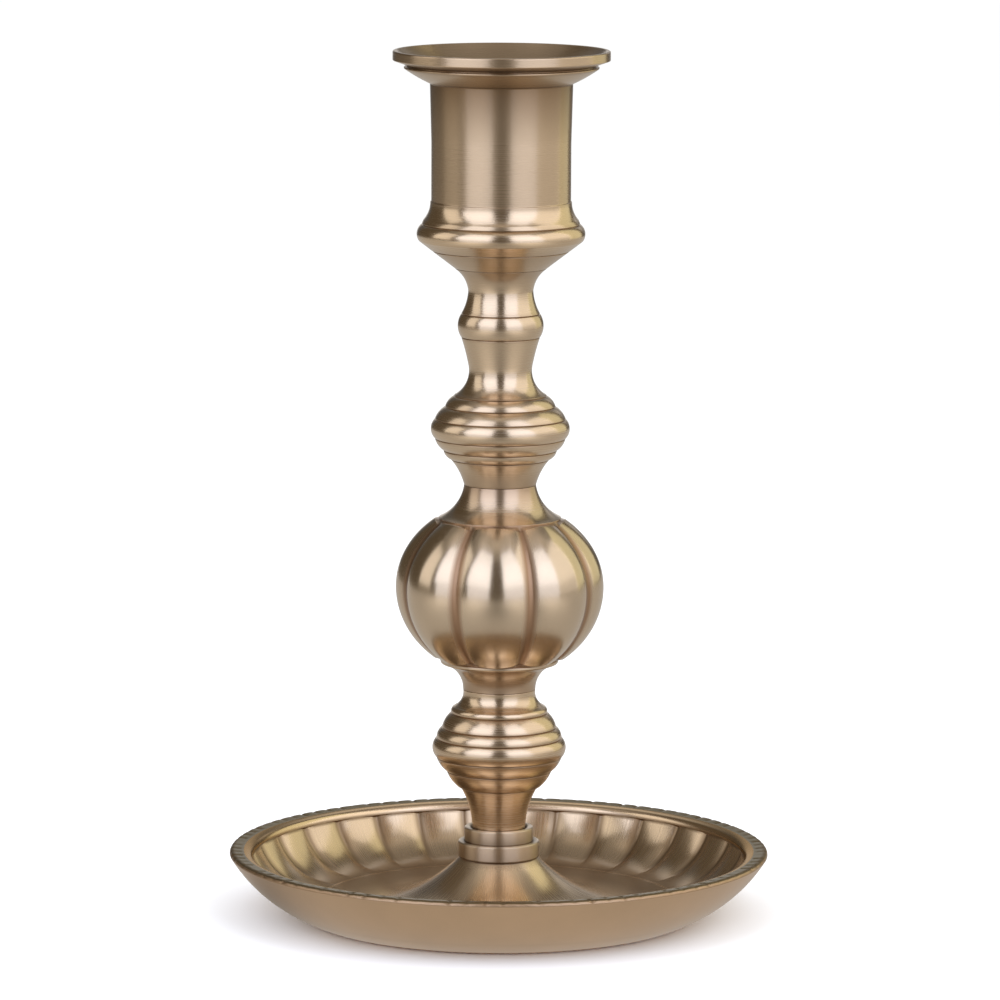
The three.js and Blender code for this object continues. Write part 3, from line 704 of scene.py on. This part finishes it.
upper_knop_height = UPPER_FOOT[1] + GROOVE_WIDTH + CREST_HALF_HEIGHT
upper_knop_height += sum(rib[0] + GROOVE_WIDTH for rib in UPPER_RIBS_BELOW)
ribbed, rib_grooves = knop(UPPER_KNOP_RADIUS, upper_knop_height, UPPER_RIBS_ABOVE, UPPER_RIBS_BELOW)
shoulder = (UPPER_SHOULDER_RADIUS, ribbed[-1][1] + GROOVE_WIDTH)
slim_neck = (SLIM_NECK_RADIUS, shoulder[1] + SLIM_NECK_HALF)
bead_foot = (BEAD_EDGE_RADIUS, slim_neck[1] + SLIM_NECK_HALF + GROOVE_WIDTH)
bead_top = (BEAD_EDGE_RADIUS, bead_foot[1] + BEAD_HEIGHT)
below_bead = (BEAD_EDGE_RADIUS - GROOVE_STEP, bead_foot[1] - GROOVE_WIDTH)
above_bead = (BEAD_EDGE_RADIUS - GROOVE_STEP, bead_top[1] + GROOVE_WIDTH)
top_neck = (TOP_NECK_RADIUS, above_bead[1] + TOP_NECK_RISE)
cup_joint = (CUP_JOINT_RADIUS, top_neck[1] + CUP_JOINT_RISE)
foot_groove = groove_between(UPPER_FOOT, ribbed[0])
shoulder_groove = groove_between(ribbed[-1], shoulder)
bead_foot_groove = groove_between(below_bead, bead_foot)
bead_top_groove = groove_between(bead_top, above_bead)
upper_grooves = rib_grooves + [foot_groove, shoulder_groove, bead_foot_groove, bead_top_groove]
upper_foot_joint = (UPPER_JOINT_RADIUS, 0.0)
upper_outline = [
    (ROD_BORE, RECESS_DEPTH),
    (RECESS_RADIUS, RECESS_DEPTH),
    (RECESS_RADIUS, 0.0),
    upper_foot_joint,
    *arc(upper_foot_joint, UPPER_FOOT, -UPPER_FOOT_SAG, steps=12),
    foot_groove,
    *ribbed,
    shoulder_groove,
    shoulder,
    *arc(shoulder, slim_neck, -UPPER_SHOULDER_SAG, steps=16),
    *arc(slim_neck, below_bead, -SLIM_NECK_SAG, steps=12),
    bead_foot_groove,
    bead_foot,
    *arc(bead_foot, bead_top, BEAD_BULGE, steps=16),
    bead_top_groove,
    above_bead,
    *arc(above_bead, top_neck, -TOP_NECK_SAG, steps=12),
    *arc(top_neck, cup_joint, -CUP_JOINT_SAG, steps=14),
    *spigot_on(cup_joint[1]),
]
upper_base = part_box("upper_stem")[0].z / MM
upper_stem = lathe("ribbed_upper_stem", eased(upper_outline, edge=0.08), upper_base, TURNED_SEGMENTS)
# The grooves and the necks at both joints are painted darker, as tarnish and painted shade.
upper_recesses = [(r, upper_base + z) for r, z in upper_grooves + [upper_foot_joint]]
upper_joints = [(UPPER_JOINT_RADIUS, upper_base), (CUP_JOINT_RADIUS, upper_base + cup_joint[1])]
in_grooves = GROOVE_TARNISH_AND_SHADE * near_recesses(upper_stem, upper_recesses, GROOVE_SHADE_REACH)
at_joints = UPPER_JOINT_TARNISH_AND_SHADE * near_recesses(upper_stem, upper_joints, UPPER_JOINT_REACH)
tarnish_and_shade(upper_stem, np.maximum(in_grooves, at_joints))
bpy.ops.object.shade_smooth_by_angle(angle=CRISP_EDGE)
UPPER_STEM_BRASS = (0.72, 0.55, 0.375)
upper_stem_finish = old_brass(
    "upper stem brass", UPPER_STEM_BRASS, STEM_DARK, roughness=0.25, line_depth=0.004, sheen=0.6
)
upper_stem.data.materials.append(upper_stem_finish)
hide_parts("upper_stem")
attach(upper_stem, "root")


# The candle cup. Turned from brass bar: a plain cone and a bead, a flared foot, a straight
# body and a wide lip with a second ring under it. Its bore takes a 22 mm candle, and its foot
# is tapped for the tie rod.
CUP_BORE = 12.0
CUP_BODY_RADIUS = 15.17
CUP_BODY_TOP_RADIUS = 15.5
CUP_FLOOR_HEIGHT = 11.3
CUP_THREAD_DEPTH = 8.3
TAPPED_BORE = 3.1
CUP_LINE = (14.85, 3.7)
CUP_LINE_STEP = 0.29
CUP_BEAD_FOOT = (17.85, 6.0)
CUP_BEAD_TOP = (17.3, 9.5)
CUP_BEAD_BULGE = 0.72
CUP_FLARE_FOOT = (1.68, 0.78)
CUP_FLARE_TOP = (0.2, 4.0)
CUP_FLARE_SAG = 0.4
CUP_BODY_HEIGHT = 25.6
LIP_CONE = (5.65, 3.25)
LIP_CONE_BULGE = 0.15
LIP_GROOVE_WIDTH = 0.35
LIP_GROOVE_DEPTH = 0.65
LIP_RADIUS = 23.6
LIP_HEIGHT = 2.05
LIP_EDGE = 0.2
LIP_LAND = 0.8
MOUTH_FLARE_HEIGHT = 6.6
MOUTH_FLARE_SAG = 0.5
CUP_LENGTH = 47.2

above_line = (CUP_LINE[0] + CUP_LINE_STEP, CUP_LINE[1] + GROOVE_WIDTH)
above_bead = (CUP_BEAD_TOP[0] - GROOVE_STEP, CUP_BEAD_TOP[1] + GROOVE_WIDTH)
flare_foot = (CUP_BODY_RADIUS + CUP_FLARE_FOOT[0], above_bead[1] + CUP_FLARE_FOOT[1])
flare_top = (CUP_BODY_RADIUS + CUP_FLARE_TOP[0], flare_foot[1] + CUP_FLARE_TOP[1])
body_top = (CUP_BODY_TOP_RADIUS, flare_top[1] + CUP_BODY_HEIGHT)
lip_cone = (CUP_BODY_TOP_RADIUS + LIP_CONE[0], body_top[1] + LIP_CONE[1])
lip_groove = (lip_cone[0] - LIP_GROOVE_DEPTH, lip_cone[1] + LIP_GROOVE_WIDTH)
cup_mouth = (LIP_RADIUS - LIP_LAND, CUP_LENGTH)
bore_top = (CUP_BORE, CUP_LENGTH - MOUTH_FLARE_HEIGHT)
cup_foot = (CUP_JOINT_RADIUS, 0.0)
line_groove = groove_between(CUP_LINE, above_line)
bead_groove = groove_between(CUP_BEAD_TOP, above_bead)
cup_outline = [
    (0.0, CUP_THREAD_DEPTH),
    (TAPPED_BORE, CUP_THREAD_DEPTH),
    (TAPPED_BORE, RECESS_DEPTH),
    (RECESS_RADIUS, RECESS_DEPTH),
    (RECESS_RADIUS, 0.0),
    cup_foot,
    CUP_LINE,
    line_groove,
    above_line,
    CUP_BEAD_FOOT,
    *arc(CUP_BEAD_FOOT, CUP_BEAD_TOP, CUP_BEAD_BULGE, steps=14),
    bead_groove,
    above_bead,
    flare_foot,
    *arc(flare_foot, flare_top, -CUP_FLARE_SAG, steps=12),
    (CUP_BODY_RADIUS, flare_top[1] + 0.1),
    (CUP_BODY_RADIUS, (flare_top[1] + body_top[1]) / 2),
    body_top,
    *arc(body_top, lip_cone, LIP_CONE_BULGE, steps=6),
    (lip_cone[0], lip_groove[1]),
    lip_groove,
    (lip_groove[0], lip_groove[1] + LIP_GROOVE_WIDTH),
    (LIP_RADIUS, CUP_LENGTH - LIP_HEIGHT),
    (LIP_RADIUS, CUP_LENGTH - LIP_EDGE),
    (LIP_RADIUS - LIP_EDGE, CUP_LENGTH),
    cup_mouth,
    *arc(cup_mouth, bore_top, -MOUTH_FLARE_SAG, steps=12),
    (CUP_BORE, CUP_FLOOR_HEIGHT),
    (0.0, CUP_FLOOR_HEIGHT),
]
cup_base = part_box("candle_cup")[0].z / MM
cup = lathe("turned_cup", eased(cup_outline, edge=0.12), cup_base, TURNED_SEGMENTS)
# The grooves are painted darker as tarnish and painted shade. Outside the bright band from the bead to
# the flare, painted shade darkens the cup, most of all under the lip, and the bore is painted darker.
cup_recesses = [(r, cup_base + z) for r, z in (line_groove, bead_groove)]
lip_recesses = [(r, cup_base + z) for r, z in (lip_groove, body_top)]
radius, height, _ = vertex_places(cup)
in_bore = (radius < CUP_BORE + 0.1) & (height > cup_base + CUP_FLOOR_HEIGHT - 0.1)
bright_band = smooth_step(height - cup_base, CUP_LINE[1], CUP_BEAD_FOOT[1])
bright_band *= 1 - smooth_step(height - cup_base, flare_top[1] - 1.0, flare_top[1])
CUP_PAINTED_SHADE = 0.24
UNDER_LIP_SHADE = 0.95
LIP_SHADE_REACH = 0.8
BORE_DARKENING = 0.6
darkened_places = [
    GROOVE_TARNISH_AND_SHADE * near_recesses(cup, cup_recesses, GROOVE_SHADE_REACH),
    CUP_PAINTED_SHADE * (1 - bright_band),
    UNDER_LIP_SHADE * near_recesses(cup, lip_recesses, LIP_SHADE_REACH),
    np.where(in_bore, BORE_DARKENING, 0.0),
]
tarnish_and_shade(cup, np.maximum.reduce(darkened_places))
bpy.ops.object.shade_smooth_by_angle(angle=CRISP_EDGE)
CUP_BRASS = (0.74, 0.555, 0.365)
cup_finish = old_brass("cup brass", CUP_BRASS, DISH_DARK, roughness=0.24, line_depth=0.004, sheen=0.6)
cup.data.materials.append(cup_finish)
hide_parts("candle_cup")
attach(cup, "root")


# The tie rod. Zinc-plated M6 rod through the whole stem, screwed into the cup's foot, with its
# thread rolled on both ends and a plain shank between them. The nut under the dish pulls on it.
ROD_RADIUS = 3.0
ROD_CHAMFER = 0.5
THREAD_PITCH = 1.0
THREAD_DEPTH = 0.55
THREAD_BELOW = 14.0
THREAD_ABOVE = 12.0
THREAD_RUN_OUT = 2
ROWS_PER_PITCH = 8
ROD_SEGMENTS = 32
ZINC_GREY = (0.58, 0.59, 0.61)
HARDWARE_EDGE = math.radians(30)


def plated_steel(name, colour, roughness):
    """Plated or oiled steel: a cloudy grey with a fine grain, duller where it is darker."""
    material = bpy.data.materials.new(name)
    material.use_nodes = True
    nodes = material.node_tree.nodes
    links = material.node_tree.links
    shader = nodes["Principled BSDF"]
    shader.inputs["Metallic"].default_value = 1.0
    place = nodes.new("ShaderNodeTexCoord")

    clouds = nodes.new("ShaderNodeTexNoise")
    clouds.inputs["Scale"].default_value = 420.0
    clouds.inputs["Detail"].default_value = 5.0
    links.new(place.outputs["Object"], clouds.inputs["Vector"])
    tone = nodes.new("ShaderNodeValToRGB")
    tone.color_ramp.elements[0].position = 0.35
    tone.color_ramp.elements[1].position = 0.65
    tone.color_ramp.elements[0].color = (*[c * 0.78 for c in colour], 1)
    tone.color_ramp.elements[1].color = (*[c * 1.08 for c in colour], 1)
    links.new(clouds.outputs["Fac"], tone.inputs["Fac"])
    links.new(tone.outputs["Color"], shader.inputs["Base Color"])

    gloss = nodes.new("ShaderNodeMapRange")
    gloss.inputs["To Min"].default_value = roughness + 0.12
    gloss.inputs["To Max"].default_value = roughness - 0.06
    links.new(clouds.outputs["Fac"], gloss.inputs["Value"])
    links.new(gloss.outputs["Result"], shader.inputs["Roughness"])

    grain = nodes.new("ShaderNodeTexNoise")
    grain.inputs["Scale"].default_value = 3500.0
    grain.inputs["Detail"].default_value = 2.0
    links.new(place.outputs["Object"], grain.inputs["Vector"])
    bump = nodes.new("ShaderNodeBump")
    bump.inputs["Strength"].default_value = 0.6
    bump.inputs["Distance"].default_value = 0.01 * MM
    links.new(grain.outputs["Fac"], bump.inputs["Height"])
    links.new(bump.outputs["Normal"], shader.inputs["Normal"])
    return material


rod_low, rod_high = [corner.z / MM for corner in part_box("tie_rod")]
rod_length = rod_high - rod_low
row = THREAD_PITCH / ROWS_PER_PITCH
rows_below = [ROD_CHAMFER + row * i for i in range(1, int(THREAD_BELOW / row))]
rows_above = [rod_length - ROD_CHAMFER - row * i for i in range(int(THREAD_ABOVE / row), 0, -1)]
rod_outline = [
    (0.0, 0.0),
    (ROD_RADIUS - ROD_CHAMFER, 0.0),
    (ROD_RADIUS, ROD_CHAMFER),
    *[(ROD_RADIUS, z) for z in rows_below + rows_above],
    (ROD_RADIUS, rod_length - ROD_CHAMFER),
    (ROD_RADIUS - ROD_CHAMFER, rod_length),
    (0.0, rod_length),
]
rod = lathe("threaded_rod", rod_outline, rod_low, ROD_SEGMENTS)
radius, height, turns = vertex_places(rod)
along = height - rod_low
thread = np.abs(2 * ((along / THREAD_PITCH - turns) % 1.0) - 1)
thread_start = rod_length - THREAD_ABOVE
below_shank = 1 - smooth_step(along, THREAD_BELOW - THREAD_RUN_OUT, THREAD_BELOW)
above_shank = smooth_step(along, thread_start, thread_start + THREAD_RUN_OUT)
threaded = np.maximum(below_shank, above_shank)
off_chamfer = radius > ROD_RADIUS - HAIR
cut_along_normals(rod, "thread", THREAD_DEPTH, np.where(off_chamfer, thread * threaded, 0.0))
bpy.ops.object.shade_smooth_by_angle(angle=HARDWARE_EDGE)
zinc = plated_steel("zinc plate", ZINC_GREY, roughness=0.34)
rod.data.materials.append(zinc)
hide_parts("tie_rod")
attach(rod, "root")


# The flat washer. Zinc-plated steel with rounded edges, flat against the underside of the
# dish's hub, so that the nut's pull spreads over the thin metal.
WASHER_RADIUS = 6.0
HARDWARE_SEGMENTS = 96

washer_low, washer_high = [corner.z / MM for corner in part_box("flat_washer")]
washer_outline = [
    (ROD_BORE, 0.0),
    (WASHER_RADIUS, 0.0),
    (WASHER_RADIUS, washer_high - washer_low),
    (ROD_BORE, washer_high - washer_low),
]
washer = lathe("plain_washer", eased(washer_outline, edge=0.18, steps=5), washer_low, HARDWARE_SEGMENTS)
bpy.ops.object.shade_smooth_by_angle(angle=HARDWARE_EDGE)
washer.data.materials.append(zinc)
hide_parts("flat_washer")
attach(washer, "root")


# The spring washer. One turn of oblong spring steel, pressed flat between the nut and the
# flat washer, with the split still open at one side. Dark and a little oily.
SPRING_WASHER_RADIUS = 5.4
SPRING_WASHER_SPLIT = 14.0
OILED_GREY = (0.2, 0.2, 0.21)

spring_low, spring_high = [corner.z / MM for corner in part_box("spring_washer")]
spring_outline = [
    (ROD_BORE, 0.0),
    (SPRING_WASHER_RADIUS, 0.0),
    (SPRING_WASHER_RADIUS, spring_high - spring_low),
    (ROD_BORE, spring_high - spring_low),
]
spring = lathe(
    "split_washer",
    eased(spring_outline, edge=0.15, steps=4),
    spring_low,
    HARDWARE_SEGMENTS,
    turn_degrees=90 + SPRING_WASHER_SPLIT / 2,
    sweep_degrees=360 - SPRING_WASHER_SPLIT,
)
bpy.ops.object.shade_smooth_by_angle(angle=HARDWARE_EDGE)
spring.data.materials.append(plated_steel("oiled spring steel", OILED_GREY, roughness=0.3))
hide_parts("spring_washer")
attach(spring, "root")


# The hexagon nut. Zinc-plated M6, ten millimetres across its flats, with both faces turned to
# a thirty-degree chamfer and the thread's mouth countersunk.
NUT_ACROSS_FLATS = 10.0
NUT_BORE = 3.1
NUT_COUNTERSINK = 0.4
NUT_FACE_RADIUS = 4.75
NUT_CHAMFER = math.radians(30)
NUT_CRISP_EDGE = math.radians(25)

nut_low, nut_high = [corner.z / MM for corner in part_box("hex_nut")]
nut_height = nut_high - nut_low
nut_corner = NUT_ACROSS_FLATS / 2 / math.cos(math.pi / 6)
past_corner = nut_corner + 0.4
chamfer_drop = (past_corner - NUT_FACE_RADIUS) * math.tan(NUT_CHAMFER)
turned_outline = [
    (NUT_BORE, NUT_COUNTERSINK),
    (NUT_BORE + NUT_COUNTERSINK, 0.0),
    (NUT_FACE_RADIUS, 0.0),
    (past_corner, chamfer_drop),
    (past_corner, nut_height - chamfer_drop),
    (NUT_FACE_RADIUS, nut_height),
    (NUT_BORE + NUT_COUNTERSINK, nut_height),
    (NUT_BORE, nut_height - NUT_COUNTERSINK),
]
turned_body = lathe("turned_nut_body", turned_outline, nut_low, HARDWARE_SEGMENTS)
bpy.ops.object.select_all(action="DESELECT")
bpy.ops.mesh.primitive_cylinder_add(
    vertices=6,
    radius=nut_corner * MM,
    depth=(nut_height + 1) * MM,
    location=(0, 0, (nut_low + nut_high) / 2 * MM),
    rotation=(0, 0, math.pi / 6),
)
nut = bpy.context.object
nut.name = "hexagon_nut"
nut.data.name = "hexagon_nut"
bpy.ops.object.transform_apply(location=True, rotation=True, scale=True)
turn = nut.modifiers.new("turn", "BOOLEAN")
turn.operation = "INTERSECT"
turn.solver = "EXACT"
turn.object = turned_body
bpy.ops.object.modifier_apply(modifier="turn")
bpy.data.objects.remove(turned_body)
bpy.ops.object.shade_smooth_by_angle(angle=NUT_CRISP_EDGE)
nut.data.materials.clear()
nut.data.materials.append(zinc)
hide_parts("hex_nut")
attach(nut, "root")


# The floor and the light. A pale floor in a white room. Two tall soft boxes stand either side
# of the camera with a dark gap between them, and dimmer ones stand at the sides and behind.
# The front boxes are dimmer near the floor and at the top.
ROOM_WHITE = 1.03
FLOOR_PALE = 0.97
DAYLIGHT = (0.91, 1.0, 1.24)

world = bpy.data.worlds.new("white room")
world.use_nodes = True
world.node_tree.nodes["Background"].inputs["Color"].default_value = (1, 1, 1, 1)
world.node_tree.nodes["Background"].inputs["Strength"].default_value = ROOM_WHITE
bpy.context.scene.world = world

bpy.ops.object.select_all(action="DESELECT")
bpy.ops.mesh.primitive_plane_add(size=20)
floor = bpy.context.object
floor.name = "floor"
floor_paint = bpy.data.materials.new("pale floor")
floor_paint.use_nodes = True
floor_shader = floor_paint.node_tree.nodes["Principled BSDF"]
floor_shader.inputs["Base Color"].default_value = (FLOOR_PALE, FLOOR_PALE, FLOOR_PALE, 1)
floor_shader.inputs["Roughness"].default_value = 0.9
floor_shader.inputs["Specular IOR Level"].default_value = 0.0
floor.data.materials.append(floor_paint)


def soft_box(name, azimuth, distance, width, low, high, brightness, colour=(1, 1, 1)):
    """An upright soft box that faces the stem. Azimuth runs from the camera to the right."""
    angle = math.radians(azimuth)
    lamp = bpy.data.lights.new(name, "AREA")
    lamp.shape = "RECTANGLE"
    lamp.size = width
    lamp.size_y = high - low
    lamp.energy = brightness * math.pi * width * (high - low)
    lamp.color = colour
    box = bpy.data.objects.new(name, lamp)
    box.location = (distance * math.sin(angle), -distance * math.cos(angle), (low + high) / 2)
    box.rotation_euler = (math.radians(90), 0, angle)
    box.visible_camera = False
    bpy.context.scene.collection.objects.link(box)


# Azimuth, distance, width, lower edge, upper edge, brightness and colour
FOOT_TOP = 0.26
BOX_TOP = 0.85
PALE_YELLOW = (1.0, 1.0, 0.72)
soft_box("left front box foot", -36.5, 0.75, 0.62, 0.02, FOOT_TOP, 1.0, DAYLIGHT)
soft_box("right front box foot", 37.5, 0.75, 0.62, 0.02, FOOT_TOP, 1.0, DAYLIGHT)
for side, azimuth, width in (("left", -38.5, 0.73), ("right", 37, 0.64)):
    soft_box(side + " front box", azimuth, 0.75, width, FOOT_TOP, BOX_TOP, 1.68, DAYLIGHT)
    soft_box(side + " front box top", azimuth, 0.75, width, BOX_TOP, 1.5, 1.4, DAYLIGHT)
soft_box("right side box", 85, 0.8, 0.74, 0.25, 1.2, 1.1)
soft_box("right side box foot", 85, 0.8, 0.74, 0.05, 0.25, 0.65)
soft_box("left side box", -89, 0.85, 0.5, 0.15, 1.0, 0.95)
soft_box("right rear box", 125, 0.85, 0.52, 0.05, 1.1, 0.72, PALE_YELLOW)


def surroundings(name, colour, level, painted_patches):
    """A glowing surface that only the metal sees, with painted pools of light and shade as soft round
    patches: place, reach and gain.
    """
    card = bpy.context.object
    card.name = name
    card.data.transform(card.matrix_world)
    card.matrix_world.identity()
    paint = bpy.data.materials.new(name.replace("_", " "))
    paint.use_nodes = True
    paint.cycles.emission_sampling = "NONE"
    nodes = paint.node_tree.nodes
    links = paint.node_tree.links
    nodes.clear()
    place = nodes.new("ShaderNodeTexCoord")
    glow = nodes.new("ShaderNodeEmission")
    glow.inputs["Color"].default_value = (*colour, 1)
    base = nodes.new("ShaderNodeValue")
    base.outputs["Value"].default_value = level
    strength = base.outputs["Value"]
    for middle, reach, gain in painted_patches:
        away = nodes.new("ShaderNodeVectorMath")
        away.operation = "DISTANCE"
        away.inputs[1].default_value = middle
        links.new(place.outputs["Object"], away.inputs[0])
        patch = nodes.new("ShaderNodeMapRange")
        patch.interpolation_type = "SMOOTHSTEP"
        patch.inputs["From Min"].default_value = 0.0
        patch.inputs["From Max"].default_value = reach
        patch.inputs["To Min"].default_value = gain
        patch.inputs["To Max"].default_value = 0.0
        links.new(away.outputs["Value"], patch.inputs["Value"])
        total = nodes.new("ShaderNodeMath")
        links.new(strength, total.inputs[0])
        links.new(patch.outputs["Result"], total.inputs[1])
        strength = total.outputs["Value"]
    links.new(strength, glow.inputs["Strength"])
    surface = nodes.new("ShaderNodeOutputMaterial")
    links.new(glow.outputs["Emission"], surface.inputs["Surface"])
    card.data.materials.append(paint)
    card.visible_camera = False
    card.visible_diffuse = False
    card.visible_shadow = False


# Glowing cards that only the metal sees: warm walls, a pale backdrop, a dim ceiling, and a grey card that
# hides the floor from the metal, with painted pools of light and painted shade on them
ROOM_RADIUS = 1.2
ROOM_HEIGHT = 1.6
ROOM_SEGMENTS = 96
BACKDROP_PLACE = (0, 1.05, 0.66)
TABLE_HEIGHT = 0.0005
WALL_TINT = (1.0, 0.8, 0.55)
BACKDROP_TINT = (1.0, 0.98, 0.95)
CEILING_TINT = (1.0, 0.93, 0.84)
TABLE_TINT = (1.0, 0.97, 0.92)
backdrop_painted_light = [
    ((0, 1.05, 0.1), 0.42, 0.95),
    ((0, 1.05, 0.95), 0.55, 0.9),
    ((0.5, 1.05, 0.45), 0.35, 0.45),
]
ceiling_painted_light = [
    ((-0.62, -0.1, 1.6), 0.6, 0.36),
    ((0.62, -0.1, 1.6), 0.6, 0.36),
    ((0, -0.4, 1.6), 0.6, 0.4),
]
# The table card's patches paint pools of light before the front boxes, painted shade in the gap before
# the camera, and the dish's own painted shadow beside its left side.
table_painted_light_and_shade = [
    ((-0.3, -0.35, 0), 0.4, 0.6),
    ((0.3, -0.35, 0), 0.4, 0.6),
    ((0, -0.26, 0), 0.2, -0.35),
    ((0, -0.6, 0), 0.3, -0.45),
    ((0, -1.05, 0), 0.35, -0.42),
    ((-0.055, -0.01, 0), 0.035, -0.22),
]
bpy.ops.mesh.primitive_cylinder_add(
    vertices=ROOM_SEGMENTS,
    radius=ROOM_RADIUS,
    depth=ROOM_HEIGHT,
    end_fill_type="NOTHING",
    location=(0, 0, ROOM_HEIGHT / 2),
)
surroundings("warm_walls", WALL_TINT, 0.1, [])
bpy.ops.mesh.primitive_plane_add(size=1.3, location=BACKDROP_PLACE, rotation=(math.pi / 2, 0, 0))
surroundings("pale_backdrop", BACKDROP_TINT, 0.1, backdrop_painted_light)
for name, at_height, colour, level, painted_patches in (
    ("dim_ceiling", ROOM_HEIGHT, CEILING_TINT, 0.24, ceiling_painted_light),
    ("glowing_table_card", TABLE_HEIGHT, TABLE_TINT, 0.5, table_painted_light_and_shade),
):
    bpy.ops.mesh.primitive_circle_add(
        vertices=ROOM_SEGMENTS, radius=ROOM_RADIUS, fill_type="NGON", location=(0, 0, at_height)
    )
    surroundings(name, colour, level, painted_patches)


# The camera. It stands where the photograph's outline puts it: a little higher than the cup,
# well away from the stand, and looking down through a long lens.
CAMERA_PLACE = (0.0, -1.3775, 0.29317)
CAMERA_TILT = 8.31
CAMERA_ROLL = 0.22
CAMERA_LENS = 229.75

lens = bpy.data.cameras.new("camera")
lens.lens = CAMERA_LENS
lens.sensor_width = 36.0
lens.clip_end = 100.0
camera = bpy.data.objects.new("camera", lens)
camera.location = CAMERA_PLACE
camera.rotation_mode = "ZYX"
camera.rotation_euler = (math.radians(90 - CAMERA_TILT), 0, math.radians(CAMERA_ROLL))
bpy.context.scene.collection.objects.link(camera)
bpy.context.scene.camera = camera
bpy.context.scene.view_settings.view_transform = "Standard"
